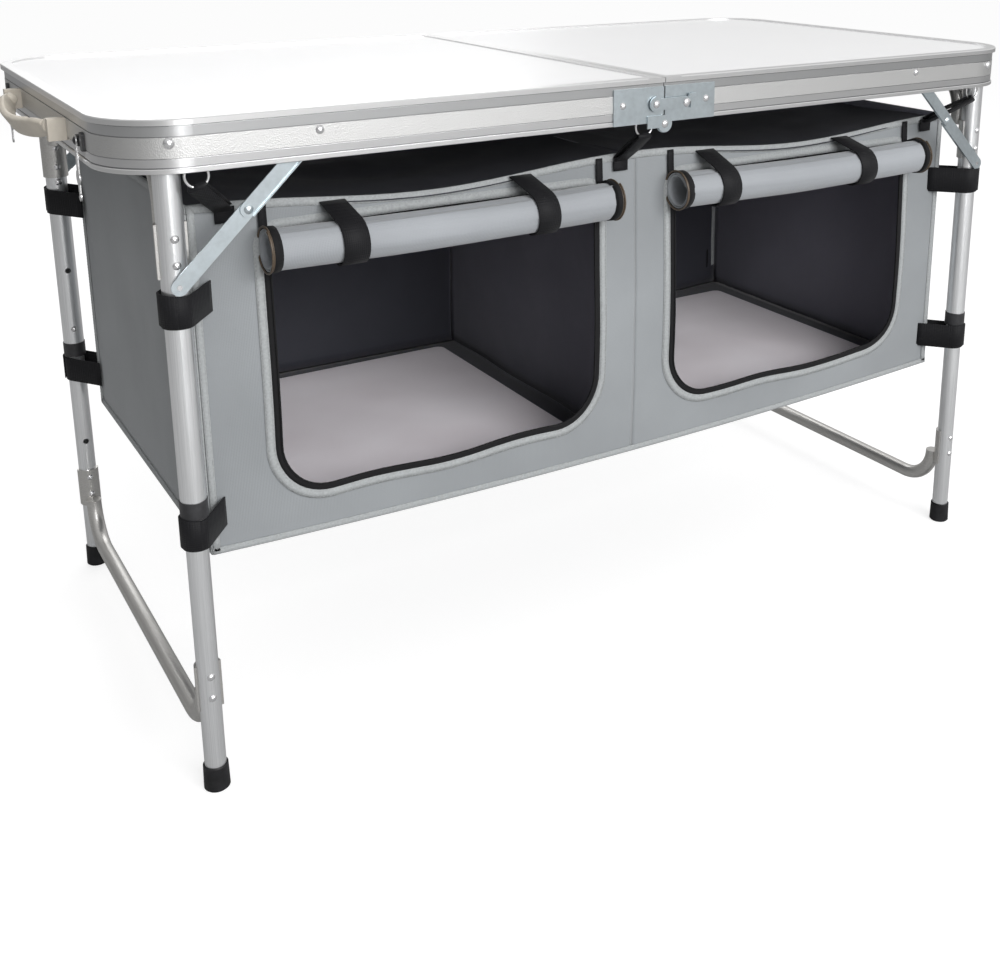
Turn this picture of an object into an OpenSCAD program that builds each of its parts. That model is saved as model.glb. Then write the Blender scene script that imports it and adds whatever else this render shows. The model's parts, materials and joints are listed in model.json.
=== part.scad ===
// Folding camp kitchen table with a two-compartment cloth organizer.
// Origin on the floor under the centre of the top; +X along the length, -Y to the front, +Z up.

/* [Table top] */
// Length of the opened top
table_l = 1200; // [1180:10:1220]
// Depth of the top, front to back
table_w = 600; // [590:5:610]
// Height of the top above the floor
table_h = 700; // [700:1:710]
// Height of the aluminium edge rail
rail_h = 50; // [48:1:52]
// Radius of the rounded outer corners
corner_r = 78; // [70:1:84]
// Thickness of the laminate board
board_t = 4; // [3:0.5:4]

/* [Leg frames] */
// Distance of the leg axis from the end of the top
leg_inset_x = 57; // [56:1:60]
// Distance of the leg axis from the long side of the top
leg_inset_y = 26.5; // [26:0.5:27]
// Depth of the leg pivots below the top surface
pivot_drop = 22; // [21:0.5:23]
// Outside diameter of the upper leg tubes
upper_d = 25.4; // [25:0.1:25.6]
// Outside diameter of the sliding lower leg tubes
lower_d = 22; // [21:0.5:22]
// Wall of the leg tubes
tube_wall = 1.2; // [1:0.1:1.3]
// Height of the lower ends of the upper tubes
upper_end_z = 325; // [322:1:328]
// Diameter of the bent cross tubes
bar_d = 19; // [18:0.5:20]
// Distance between two height holes
hole_pitch = 80; // [78:1:80]

/* [Folding stays] */
// Distance from leg pivot to stay pivot along the rail
stay_rail_d = 140; // [140:1:141]
// Distance from leg pivot to stay pivot down the leg
stay_leg_d = 135; // [134:1:136]

/* [Organizer] */
// Overall length of the organizer
bag_l = 1040; // [1030:5:1044]
// Depth of the organizer
bag_w = 486; // [480:1:488]
// Height of the organizer's bottom above the floor
bag_bottom_z = 238; // [230:1:245]
// Height of the organizer's top edge above the floor
bag_top_z = 600; // [595:1:604]
// Thickness of the cloth walls
cloth_t = 3; // [2:0.5:4]
// Width of each door mouth
mouth_w = 390; // [380:5:400]
// Height of each door mouth
mouth_h = 248; // [240:2:256]
// Diameter of a rolled-up door
roll_d = 45; // [42:1:46]
// Width of the webbing straps
strap_w = 32; // [28:1:36]

/* [Hidden] */

$fn = 96;

// Half sizes and levels
half_l = table_l / 2;
half_w = table_w / 2;
rail_z = table_h - rail_h;
pivot_z = table_h - pivot_drop;
leg_x = half_l - leg_inset_x;
leg_y = half_w - leg_inset_y;
seam_gap = 0.4;

// Edge rail section, inward distance t from the lip and height h above the rail's lower edge
wall_out_t = 3.5;
wall_in_t = 5;
band_t = 3.2;
lip_w = 12.5;
rail_band_y = half_w - band_t;

// The leg rivets go through the corner's bend, so their heads sit on a curved band
corner_band_r = corner_r - band_t;
corner_reach = max(0, corner_r - leg_inset_x - 5);
leg_head_y = -half_w + corner_r - sqrt(pow(corner_band_r, 2) - pow(corner_reach, 2));

// Leg tubes
upper_r = upper_d / 2;
upper_bore_r = upper_r - tube_wall;
lower_r = lower_d / 2;
upper_top_z = pivot_z + 7;
lower_top_z = upper_end_z + 53;
collar_h = 18;
cap_h = 28;
cap_r = lower_r + 2.4;
button_z = upper_end_z + 20;
hole_r = 3.6;
button_r = 3.2;

// Bent cross tubes
bar_r = bar_d / 2;
foot_bar_z = 52;
foot_bar_bend = 50;
foot_saddle_z = [92, 143];
foot_bar_end_z = 104;
foot_rivet_z = [109, 133];
crossbar_z = pivot_z - 10;
crossbar_bend = 55;
cross_saddle_z = [549, 601];
crossbar_end_z = 593;
cross_rivet_z = [563, 588];

// Rivets
rivet_r = 2;
pivot_r = 3;
pivot_head_r = 5;
stay_pin_r = 2.5;
run_gap = 0.06;

// Stays: the two links lie flat on each other when the leg is folded
stay_sum = sqrt(stay_rail_d * stay_rail_d + stay_leg_d * stay_leg_d);
stay_upper_l = (stay_sum + stay_rail_d - stay_leg_d) / 2;
stay_lower_l = stay_sum - stay_upper_l;
stay_angle = atan2(stay_leg_d, stay_rail_d);
stay_pin_x = leg_x - stay_rail_d;
stay_leg_z = pivot_z - stay_leg_d;
stay_w = 16;
stay_t = 1.4;
upper_stay_y = half_w - 7.8;
lower_stay_y = half_w - 9.5;
stay_flange = 2.4;

// Centre hinge and lock
hinge_z = rail_z - 2;
plate_t = 1.8;
plate_y = rail_band_y + 0.1;
plate_l = 68;
plate_z = [rail_z, table_h - 10];
lug_r = 10;
link_y = half_w + 0.2;
link_t = 2;
lock_pivot = [-13, table_h - 29];
lock_stud = [29, table_h - 30];
plate_rivet = [56, table_h - 28];

// End fittings
latch_y = 186;
latch_z = table_h - 30;
latch_pin_r = 2;
handle_half = 116;
handle_z = table_h - 26;
handle_x = half_l + 10;
handle_droop = 32;
handle_bulge = 17;

// Organizer
bag_hl = bag_l / 2;
bag_hw = bag_w / 2;
mouth_x = 55;
mouth_z = bag_bottom_z + 52;
mouth_r = 48;
roll_z = 560;
roll_x = [46, 452];
hook_x = [22, 520];
loop_z = [517, 289];
partition_gap = 0.3;

// Wire hooks: a small eye on a tab, and a ring that hangs in it
wire_r = 1.2;
eye_r = 2.9;
ring_r = 11;
tab_y = half_w - wall_in_t;
tab_t = 1.5;
hook_y = tab_y - tab_t - eye_r;
eye_z = rail_z + 7;
ring_z = eye_z - eye_r + 2 * wire_r + 0.05 - ring_r;

// Hanger straps, doubled round the ring's lowest wire
hanger_in = wire_r + 0.2;
hanger_out = hanger_in + 1.6;
hanger_rise = ring_z - ring_r - bag_top_z + 5;
hanger_run = hook_y - bag_hw;
hanger_l = norm([hanger_run, hanger_rise]);
hanger_angle = atan2(hanger_rise, hanger_run);

// A cylinder lying along Y from y0 to y1
module ycyl(x, z, r, y0, y1) {
    translate([x, y0, z]) rotate([-90, 0, 0]) cylinder(r = r, h = y1 - y0);
}

// A cylinder lying along X from x0 to x1
module xcyl(y, z, r, x0, x1) {
    translate([x0, y, z]) rotate([0, 90, 0]) cylinder(r = r, h = x1 - x0);
}

// A box between two corners
module box(a, b) {
    translate(a) cube(b - a);
}

// A domed rivet head of radius r and height h that rises along +Z
module dome(r, h) {
    rotate_extrude() intersection() {
        translate([0, h - (r * r + h * h) / (2 * h)]) circle(r = (r * r + h * h) / (2 * h));
        square([r, h]);
    }
}

// Both long sides: children are made for the front and mirrored to the back
module front_and_back() {
    children();
    mirror([0, 1, 0]) children();
}

// The right-hand copy of a left-hand piece
module right_side() {
    mirror([1, 0, 0]) children();
}

// ---- Table top ----

// Section of the edge rail, drawn with its outer face at x = 0 and running inward
module rail_section() {
    groove = 0.8;
    difference() {
        polygon([
            [0, rail_h - 5.8], [0, rail_h - 1], [1, rail_h], [lip_w, rail_h], [lip_w, rail_h - 1.8],
            [wall_in_t, rail_h - 1.8], [wall_in_t, rail_h - 1.9 - board_t],
            [wall_in_t + 4, rail_h - 1.9 - board_t], [wall_in_t + 4, rail_h - 3.2 - board_t],
            [wall_in_t, rail_h - 3.2 - board_t], [wall_in_t, 0], [2.6, 0], [2, 0.6], [2, 4],
            [2.6, 4.6], [wall_out_t, 4.6], [wall_out_t, 14], [band_t, 14], [band_t, 33],
            [wall_out_t, 33], [wall_out_t, rail_h - 5.8]
        ]);
        for (h = [5, 13.2, 33, 42.8])
            translate([wall_out_t - 0.5, h]) square([1.1, groove]);
    }
}

// The section carried round one outer corner
module rail_corner() {
    translate([-half_l + corner_r, -half_w + corner_r, rail_z]) rotate([0, 0, 180])
        rotate_extrude(angle = 90) translate([corner_r, 0]) mirror([1, 0]) rail_section();
}

// The section along a straight run of length len, outer face on -Y, starting at the origin
module rail_run(len) {
    rotate([90, 0, 90]) linear_extrude(height = len) rail_section();
}

module edge_rail() {
    side_len = half_l - corner_r - 22;
    front_and_back() {
        rail_corner();
        translate([-half_l + corner_r, -half_w, rail_z]) rail_run(side_len);
    }
    translate([-half_l, half_w - corner_r, rail_z]) rotate([0, 0, -90])
        rail_run(table_w - 2 * corner_r);
}

// Window cut through the end wall for each latch
module latch_cuts() {
    for (s = [-1, 1])
        translate([-half_l - 1, s * (latch_y + 17), latch_z + 1]) rotate([0, 90, 0])
            linear_extrude(height = 8) rounded_rect(18, 11, 2.5);
}

// A centred rectangle with round corners
module rounded_rect(w, h, r) {
    union() {
        square([w - 2 * r, h], center = true);
        square([w, h - 2 * r], center = true);
        for (sx = [-1, 1], sy = [-1, 1])
            translate([sx * (w / 2 - r), sy * (h / 2 - r)]) circle(r = r);
    }
}

module left_edge_rail() {
    color("silver") difference() {
        edge_rail();
        rail_pin_holes();
        plate_seats();
        latch_cuts();
        handle_screw_holes();
    }
}

module right_edge_rail() {
    color("silver") right_side() difference() {
        edge_rail();
        rail_pin_holes();
        plate_seats();
        handle_screw_holes();
        for (s = [-1, 1])
            xcyl(s * latch_y, latch_z, latch_pin_r + run_gap, -half_l, -half_l + 8);
    }
}

// Seats cut in the outer bands for the centre plates
module plate_seats() {
    front_and_back()
        box([-plate_l - 3.2, -half_w - 1, rail_z - 1], [1, -plate_y, plate_z[1] + 0.1]);
}

module rail_pin_holes() {
    front_and_back() {
        ycyl(-leg_x, pivot_z, pivot_r, -half_w - 1, -half_w + 12);
        ycyl(-stay_pin_x, pivot_z, stay_pin_r, -half_w - 1, -half_w + 8);
    }
}

module handle_screw_holes() {
    for (s = [-1, 1])
        xcyl(s * (handle_half + 6), handle_z - 7, rivet_r, -half_l - 1, -half_l + 8);
}

// Straight rail along the seam with its two end returns, 22 mm long
module seam_rail() {
    difference() {
        union() {
            box([-10, -half_w + 3.6, table_h - 1.8], [-seam_gap, half_w - 3.6, table_h]);
            box([-2.2, -half_w + 3.6, rail_z], [-seam_gap, half_w - 3.6, table_h - 1.8]);
            box([-7, -half_w + 9, table_h - 3.2 - board_t],
                [-2.2, half_w - 9, table_h - 1.9 - board_t]);
            front_and_back() {
                box([-22, -half_w, table_h - 5.8], [-seam_gap, -half_w + lip_w, table_h]);
                box([-22, -half_w + wall_out_t, rail_z],
                    [-seam_gap, -half_w + wall_in_t, table_h - 5.8]);
            }
        }
        front_and_back() {
            box([-23, -half_w + wall_in_t, table_h - 1.9 - board_t],
                [-2.3, -half_w + lip_w + 1, table_h - 1.8]);
            box([-23, -half_w + wall_in_t + 0.1, table_h - 8],
                [-2.3, -half_w + lip_w + 1, table_h - 1.8 - board_t]);
            ycyl(lock_pivot[0], lock_pivot[1], rivet_r, -half_w - 1, -half_w + 8);
            ycyl(0, hinge_z, 5.4, -half_w - 1, -half_w + 8);
        }
    }
}

module left_seam_rail() {
    color("silver") seam_rail();
}

module right_seam_rail() {
    color("silver") right_side() seam_rail();
}

// Laminate board let into the rails
module board() {
    inset = wall_in_t + 0.1;
    z0 = table_h - 1.85 - board_t;
    r = corner_r - inset;
    translate([0, 0, z0]) linear_extrude(height = board_t) difference() {
        union() {
            translate([-half_l + inset + r, -half_w + inset]) square([half_l - inset - r - 2.3,
                table_w - 2 * inset]);
            translate([-half_l + inset, -half_w + inset + r]) square([r + 1,
                table_w - 2 * inset - 2 * r]);
            for (s = [-1, 1])
                translate([-half_l + inset + r, s * (half_w - inset - r)]) circle(r = r);
        }
    }
}

module left_board() {
    color("white") board();
}

module right_board() {
    color("white") right_side() board();
}

// Upright round of radius r about the front corner's centre
module corner_round(r) {
    translate([-half_l + corner_r, -half_w + corner_r, rail_z]) cylinder(r = r, h = rail_h);
}

// Long rivets that the legs turn on, and shorter ones that the stays turn on
module rail_rivets() {
    y_leg_in = -leg_y + upper_r;
    front_and_back() {
        ycyl(-leg_x, pivot_z, pivot_r, leg_head_y, y_leg_in + 1);
        difference() {
            union() {
                ycyl(-leg_x, pivot_z, pivot_head_r, leg_head_y, leg_head_y + 4);
                translate([-leg_x, leg_head_y, pivot_z]) rotate([90, 0, 0]) dome(pivot_head_r, 2.6);
            }
            corner_round(corner_band_r + 0.05);
        }
        translate([-leg_x, y_leg_in + 0.4, pivot_z]) rotate([-90, 0, 0]) dome(pivot_head_r, 2.4);
        intersection() {
            difference() {
                ycyl(-leg_x, pivot_z, 6, -half_w + wall_in_t, -leg_y - upper_r - 0.3);
                ycyl(-leg_x, pivot_z, pivot_r - 0.5, -half_w, -leg_y);
            }
            corner_round(corner_r - wall_in_t - 0.1);
        }
        ycyl(-stay_pin_x, pivot_z, stay_pin_r, -half_w + band_t, -upper_stay_y + stay_t - 0.05);
        translate([-stay_pin_x, -half_w + band_t, pivot_z]) rotate([90, 0, 0]) dome(4.4, 2.3);
        difference() {
            ycyl(-stay_pin_x, pivot_z, 4.5, -half_w + wall_in_t, -upper_stay_y - 0.2);
            ycyl(-stay_pin_x, pivot_z, stay_pin_r - 0.5, -half_w, -leg_y);
        }
    }
}

module left_rail_rivets() {
    color("gainsboro") rail_rivets();
}

module right_rail_rivets() {
    color("gainsboro") right_side() rail_rivets();
}

// ---- Centre hinge and lock ----

module left_centre_plates() {
    lug_y0 = -plate_y - plate_t - 0.2 - plate_t;
    color("lightsteelblue") front_and_back() difference() {
        union() {
            difference() {
                box([-plate_l, -plate_y - plate_t, plate_z[0]], [-1, -plate_y, plate_z[1]]);
                ycyl(0, hinge_z, lug_r + 0.8, -half_w - 5, -half_w + 8);
            }
            box([-24, lug_y0, rail_z + 1], [-12, -plate_y - plate_t, rail_z + 8]);
            box([-24, lug_y0, rail_z - 6], [0, lug_y0 + plate_t, rail_z + 8]);
            ycyl(0, hinge_z, lug_r - 0.5, lug_y0, lug_y0 + plate_t);
        }
        ycyl(0, hinge_z, stay_pin_r, -half_w - 5, -half_w + 8);
        ycyl(lock_pivot[0], lock_pivot[1], rivet_r, -half_w - 5, -half_w + 8);
        ycyl(-plate_rivet[0], plate_rivet[1], rivet_r, -half_w - 5, -half_w + 8);
    }
}

module right_centre_plates() {
    color("lightsteelblue") front_and_back() difference() {
        union() {
            box([1, -plate_y - plate_t, plate_z[0]], [plate_l + 3, -plate_y, plate_z[1]]);
            ycyl(0, hinge_z, lug_r, -plate_y - plate_t, -plate_y);
        }
        ycyl(0, hinge_z, stay_pin_r + run_gap, -half_w - 5, -half_w + 8);
        ycyl(lock_stud[0], lock_stud[1], 3, -half_w - 5, -half_w + 8);
        ycyl(plate_rivet[0] + 3, plate_rivet[1], rivet_r, -half_w - 5, -half_w + 8);
    }
}

// Hinge rivets through the lugs, lock pivots, and the left plates' own rivets
module centre_rivets() {
    lug_y0 = -plate_y - plate_t - 0.2 - plate_t;
    color("gainsboro") front_and_back() {
        ycyl(0, hinge_z, stay_pin_r, lug_y0, -plate_y + 0.3);
        translate([0, lug_y0, hinge_z]) rotate([90, 0, 0]) dome(4.6, 2.2);
        translate([0, -plate_y + 0.3, hinge_z]) rotate([-90, 0, 0]) dome(4.6, 1.8);
        ycyl(lock_pivot[0], lock_pivot[1], rivet_r, -link_y - link_t - 0.2, -half_w + wall_in_t);
        ycyl(lock_pivot[0], lock_pivot[1], 6, -link_y + 0.1, -plate_y - plate_t);
        translate([lock_pivot[0], -link_y - link_t - 0.2, lock_pivot[1]]) rotate([90, 0, 0])
            dome(4.4, 2);
        ycyl(-plate_rivet[0], plate_rivet[1], rivet_r, -plate_y - plate_t, -plate_y);
        translate([-plate_rivet[0], -plate_y - plate_t, plate_rivet[1]]) rotate([90, 0, 0])
            dome(4.2, 2.2);
    }
}

// Headed studs that the lock links drop over, and the right plates' own rivets
module lock_studs() {
    y_head = -link_y - link_t - 0.3;
    color("gainsboro") front_and_back() {
        ycyl(lock_stud[0], lock_stud[1], 3, y_head, -plate_y);
        ycyl(lock_stud[0], lock_stud[1], 4.6, -link_y + 0.1, -plate_y - plate_t);
        translate([lock_stud[0], y_head, lock_stud[1]]) rotate([90, 0, 0]) dome(4.8, 2);
        ycyl(plate_rivet[0] + 3, plate_rivet[1], rivet_r, -plate_y - plate_t, -plate_y);
        translate([plate_rivet[0] + 3, -plate_y - plate_t, plate_rivet[1]]) rotate([90, 0, 0])
            dome(4.2, 2.2);
    }
}

// Lock link: turns on the left plate and hooks over the stud from above
module lock_link() {
    p = lock_pivot;
    s = lock_stud;
    difference() {
        translate([0, -link_y, 0]) rotate([90, 0, 0]) linear_extrude(height = link_t) difference() {
            union() {
                translate(p) circle(r = 8.6);
                translate([p[0], s[1] - 6]) square([s[0] + 9.5 - p[0], 13]);
                translate([s[0] + 3, s[1] + 6]) square([10, 4]);
            }
            translate(s) circle(r = 3.4);
            translate([s[0] - 3.4, s[1] - 7]) square([9, 7]);
            translate([s[0] + 2, s[1] - 7]) square([3.6, 8.5]);
        }
        ycyl(p[0], p[1], rivet_r + run_gap, -half_w - 9, -half_w + 8);
    }
}

module front_lock_link() {
    color("lightsteelblue") lock_link();
}

module back_lock_link() {
    color("lightsteelblue") mirror([0, 1, 0]) lock_link();
}

// ---- End fittings ----

// Dark plastic bushes that fill the latch windows, with the latch pivots
module latch_windows() {
    x0 = -half_l + 0.5;
    color("dimgray") for (s = [-1, 1]) {
        translate([x0, s * (latch_y + 17), latch_z + 1]) rotate([0, 90, 0])
            linear_extrude(height = 7) rounded_rect(17.6, 10.6, 2.3);
        difference() {
            box([x0, s * latch_y - 5, latch_z - 5], [-half_l + band_t, s * latch_y + 5, latch_z + 5]);
            xcyl(s * latch_y, latch_z, latch_pin_r - 0.2, -half_l - 1, -half_l + 8);
        }
        xcyl(s * latch_y, latch_z, latch_pin_r, x0 - 2.2, x0);
        translate([x0 - 2.2, s * latch_y, latch_z]) rotate([0, -90, 0]) dome(3.8, 1.6);
    }
}

// Spring-steel draw hook hanging from its pivot
module latch_hook() {
    x0 = -half_l - 1.3;
    translate([x0 - 0.2, 0, 0]) rotate([0, 90, 0]) linear_extrude(height = 1.4) difference() {
        union() {
            translate([-latch_z, latch_y]) circle(r = 5);
            translate([-latch_z, latch_y - 4]) square([34, 8]);
            translate([-latch_z + 36, latch_y - 2]) circle(r = 7.5);
            translate([-latch_z + 40, latch_y - 4]) square([15, 6]);
            translate([-latch_z + 54, latch_y - 1]) circle(r = 4.5);
        }
        translate([-latch_z, latch_y]) circle(r = latch_pin_r + run_gap);
        translate([-latch_z + 50, latch_y - 12]) square([4.4, 9]);
    }
}

module back_latch_hook() {
    color("silver") latch_hook();
}

module front_latch_hook() {
    color("silver") mirror([0, 1, 0]) latch_hook();
}

// Headed studs on the right end that the draw hooks catch when the table is closed
module catch_studs() {
    color("silver") for (s = [-1, 1]) {
        xcyl(s * latch_y, latch_z, latch_pin_r, half_l - wall_in_t, half_l + 1);
        translate([half_l + 1, s * latch_y, latch_z]) rotate([0, 90, 0]) dome(3.6, 1.6);
    }
}

// Plastic blocks that hold the handle's pivots
module handle_brackets() {
    x1 = -half_l + band_t;
    for (s = [-1, 1]) {
        difference() {
            union() {
                box([-half_l - 14, s * (handle_half + 6) - 5, handle_z - 13],
                    [x1, s * (handle_half + 6) + 5, handle_z + 9]);
                xcyl(s * (handle_half + 6), handle_z - 7, rivet_r, x1, -half_l + 8);
            }
            ycyl(-handle_x, handle_z, pivot_r, s * (handle_half + 6) - 6, s * (handle_half + 6) + 6);
        }
        ycyl(-handle_x, handle_z, pivot_r, s * (handle_half + 1) - 9.6, s * (handle_half + 1) + 9.6);
    }
}

module left_handle_brackets() {
    color("ivory") handle_brackets();
}

module right_handle_brackets() {
    color("ivory") right_side() handle_brackets();
}

// Arched grip between two knuckles; drawn level, then turned down to its resting droop
module handle() {
    chord = handle_half - 8;
    arc_r = (chord * chord + handle_bulge * handle_bulge) / (2 * handle_bulge);
    arc_a = asin(chord / arc_r);
    translate([-handle_x, 0, handle_z]) rotate([0, -handle_droop, 0]) difference() {
        union() {
            translate([arc_r - handle_bulge - 2, 0, -11]) rotate([0, 0, 180 - arc_a])
                rotate_extrude(angle = 2 * arc_a, $fn = 360) translate([arc_r - 3.5, 0])
                    square([7, 22]);
            for (s = [-1, 1])
                translate([0, s * (handle_half - 8), 0]) {
                    rotate([90, 0, 0]) cylinder(r = 6.5, h = 15, center = true);
                    translate([-9, -7.5, -6.5]) cube([9, 15, 13]);
                }
        }
        ycyl(0, 0, pivot_r + run_gap, -handle_half - 10, handle_half + 10);
    }
}

module left_handle() {
    color("ivory") handle();
}

module right_handle() {
    color("ivory") right_side() handle();
}

// ---- Bag hooks ----

// Tab with its eye behind the long rail, and the ring hanging in the eye
module bag_hook(x) {
    box([x - 2, -tab_y, rail_z + 1], [x + 5, -tab_y + tab_t, rail_z + 16]);
    translate([x, -hook_y, eye_z]) rotate([0, 90, 0]) rotate_extrude()
        translate([eye_r, 0]) circle(r = wire_r, $fn = 32);
    hook_ring(x, wire_r);
}

// Ring of wire radius r
module hook_ring(x, r) {
    translate([x, -hook_y, ring_z]) rotate([90, 0, 0]) rotate_extrude()
        translate([ring_r, 0]) circle(r = r, $fn = 32);
}

module bag_hooks() {
    front_and_back() for (x = hook_x)
        bag_hook(-x);
}

module left_bag_hooks() {
    color("silver") bag_hooks();
}

module right_bag_hooks() {
    color("silver") front_and_back() right_side() bag_hook(-hook_x[1]);
}

// ---- Leg frames ----

// Both legs of the left frame: children are made at the front leg and mirrored to the back
module at_legs() {
    front_and_back() translate([-leg_x, -leg_y, 0]) children();
}

module upper_tubes() {
    at_legs() difference() {
        translate([0, 0, upper_end_z]) cylinder(r = upper_r, h = upper_top_z - upper_end_z);
        translate([0, 0, upper_end_z - 1]) cylinder(r = upper_bore_r, h = upper_top_z);
        ycyl(0, pivot_z, pivot_r + run_gap, -20, 20);
        ycyl(0, stay_leg_z, stay_pin_r, -20, 20);
        for (z = cross_rivet_z)
            ycyl(0, z, rivet_r, -20, 20);
        for (i = [0 : 2])
            ycyl(0, button_z + i * hole_pitch, hole_r, 0, 20);
    }
}

module left_upper_tubes() {
    color("gainsboro") upper_tubes();
}

module right_upper_tubes() {
    color("gainsboro") right_side() upper_tubes();
}

// Tube bent up or down at both ends, with flattened saddles that hug the legs
module bent_bar(leg_r, bar_z, bend, end_z, saddle_z, rivet_z) {
    up = end_z > bar_z ? 1 : -1;
    side_y = leg_y - leg_r - bar_r - 0.4;
    tube_in = bar_r - 1.4;
    translate([-leg_x, 0, 0]) {
        difference() {
            ycyl(0, bar_z, bar_r, -side_y + bend, side_y - bend);
            ycyl(0, bar_z, tube_in, -side_y + bend - 1, side_y - bend + 1);
        }
        front_and_back() {
            translate([0, -side_y + bend, bar_z + up * bend]) rotate([0, 90, 0])
                rotate([0, 0, up > 0 ? -90 : 180]) rotate_extrude(angle = 90)
                    translate([bend, 0]) difference() {
                        circle(r = bar_r, $fn = 64);
                        circle(r = tube_in, $fn = 64);
                    }
            difference() {
                union() {
                    translate([0, -side_y, min(bar_z + up * bend, end_z)])
                        cylinder(r = bar_r, h = abs(end_z - bar_z - up * bend));
                    translate([0, -leg_y, saddle_z[0]]) cylinder(r = leg_r + 2.4,
                        h = saddle_z[1] - saddle_z[0]);
                }
                translate([0, -leg_y, saddle_z[0] - 60]) cylinder(r = leg_r + 0.05, h = 200);
                box([-30, -leg_y - 30, saddle_z[0] - 60], [30, -leg_y - 1, saddle_z[1] + 60]);
                for (z = rivet_z)
                    ycyl(0, z, rivet_r, -leg_y, -leg_y + 40);
            }
        }
    }
}

module crossbar() {
    bent_bar(upper_r, crossbar_z, crossbar_bend, crossbar_end_z, cross_saddle_z, cross_rivet_z);
}

module left_crossbar() {
    color("silver") crossbar();
}

module right_crossbar() {
    color("silver") right_side() crossbar();
}

module collars() {
    at_legs() difference() {
        translate([0, 0, upper_end_z - collar_h]) cylinder(r = upper_r + 0.9, h = collar_h);
        translate([0, 0, upper_end_z - collar_h - 1]) cylinder(r = lower_r + 0.3, h = collar_h + 2);
    }
}

module left_collars() {
    color("black") collars();
}

module right_collars() {
    color("black") right_side() collars();
}

// A rivet through a leg along Y with a head outside and a head on the saddle
module leg_rivet(leg_r, z, r, inner_y) {
    ycyl(0, z, r, -leg_r, inner_y);
    translate([0, -leg_r, z]) rotate([90, 0, 0]) dome(r * 2, r);
    translate([0, inner_y, z]) rotate([-90, 0, 0]) dome(r * 1.9, r * 0.9);
}

module frame_rivets() {
    at_legs() {
        for (z = cross_rivet_z)
            leg_rivet(upper_r, z, rivet_r, upper_r + 2.4);
        ycyl(0, stay_leg_z, stay_pin_r, leg_y - lower_stay_y + 0.05, upper_r);
        translate([0, upper_r, stay_leg_z]) rotate([-90, 0, 0]) dome(4.4, 2);
        ycyl(0, stay_leg_z, 5, leg_y - lower_stay_y + stay_t + 0.2, -upper_r - 0.05);
    }
}

module left_frame_rivets() {
    color("gainsboro") frame_rivets();
}

module right_frame_rivets() {
    color("gainsboro") right_side() frame_rivets();
}

module lower_tubes() {
    at_legs() difference() {
        translate([0, 0, 4]) cylinder(r = lower_r, h = lower_top_z - 4);
        translate([0, 0, 3]) cylinder(r = lower_r - tube_wall, h = lower_top_z);
        for (z = [button_z, button_z - 2 * hole_pitch])
            ycyl(0, z, button_r + 0.5, 0, 20);
        for (z = foot_rivet_z)
            ycyl(0, z, rivet_r, -20, 20);
    }
}

module left_lower_tubes() {
    color("gainsboro") lower_tubes();
}

module right_lower_tubes() {
    color("gainsboro") right_side() lower_tubes();
}

module foot_bar() {
    bent_bar(lower_r, foot_bar_z, foot_bar_bend, foot_bar_end_z, foot_saddle_z, foot_rivet_z);
}

module left_foot_bar() {
    color("silver") foot_bar();
}

module right_foot_bar() {
    color("silver") right_side() foot_bar();
}

module foot_caps() {
    at_legs() difference() {
        rotate_extrude() polygon([[0, 0], [cap_r - 1.5, 0], [cap_r, 1.5], [cap_r - 0.6, cap_h - 1],
            [cap_r - 1.4, cap_h], [0, cap_h]]);
        translate([0, 0, 4]) cylinder(r = lower_r, h = cap_h);
    }
}

module left_foot_caps() {
    color("black") foot_caps();
}

module right_foot_caps() {
    color("black") right_side() foot_caps();
}

module foot_bar_rivets() {
    at_legs() for (z = foot_rivet_z)
        leg_rivet(lower_r, z, rivet_r, lower_r + 2.4);
}

module left_foot_bar_rivets() {
    color("gainsboro") foot_bar_rivets();
}

module right_foot_bar_rivets() {
    color("gainsboro") right_side() foot_bar_rivets();
}

// One link of a stay: eye at the origin, far eye at len along +X, plate on +Y, flange to side_y
module stay_link(len, width, pin_r, lip_from, lip_to, lip_side) {
    rotate([-90, 0, 0]) linear_extrude(height = stay_t) difference() {
        union() {
            circle(d = width);
            translate([0, -width / 2]) square([len, width]);
            translate([len, 0]) circle(d = width);
        }
        circle(r = pin_r + run_gap);
    }
    box([lip_from, lip_side > 0 ? stay_t : -stay_flange, -width / 2],
        [lip_to, lip_side > 0 ? stay_t + stay_flange : 0, -width / 2 + 1.3]);
}

// Upper links turn on the rail; they carry the knee's outer head
module upper_stays() {
    front_and_back() translate([-stay_pin_x, -upper_stay_y, pivot_z])
        rotate([0, 180 - stay_angle, 0]) mirror([0, 0, 1]) {
            stay_link(stay_upper_l, stay_w, stay_pin_r, 9, stay_upper_l + 2, -1);
            translate([stay_upper_l, 0, 0]) rotate([90, 0, 0]) dome(4.6, 2);
        }
}

module left_upper_stays() {
    color("lightsteelblue") upper_stays();
}

module right_upper_stays() {
    color("lightsteelblue") right_side() upper_stays();
}

// Lower links turn on the legs; they carry the knee's inner head
module lower_stays() {
    front_and_back() translate([-leg_x, -lower_stay_y, stay_leg_z])
        rotate([0, -stay_angle, 0]) {
            stay_link(stay_lower_l, stay_w, stay_pin_r, 24, stay_lower_l + 2, 1);
            translate([stay_lower_l, stay_t, 0]) rotate([-90, 0, 0]) dome(4.2, 1.6);
        }
}

module left_lower_stays() {
    color("lightsteelblue") lower_stays();
}

module right_lower_stays() {
    color("lightsteelblue") right_side() lower_stays();
}

// Spring button in the lowest hole of a leg's inner face
module spring_button() {
    y0 = lower_r + 0.35;
    nose = 1.6;
    translate([0, 0, button_z]) {
        ycyl(0, 0, button_r, y0, upper_r + 0.6);
        translate([0, upper_r + 0.6, 0]) rotate([-90, 0, 0]) dome(button_r, nose);
    }
}

module button_front_left() {
    color("silver") translate([-leg_x, -leg_y, 0]) spring_button();
}

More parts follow.
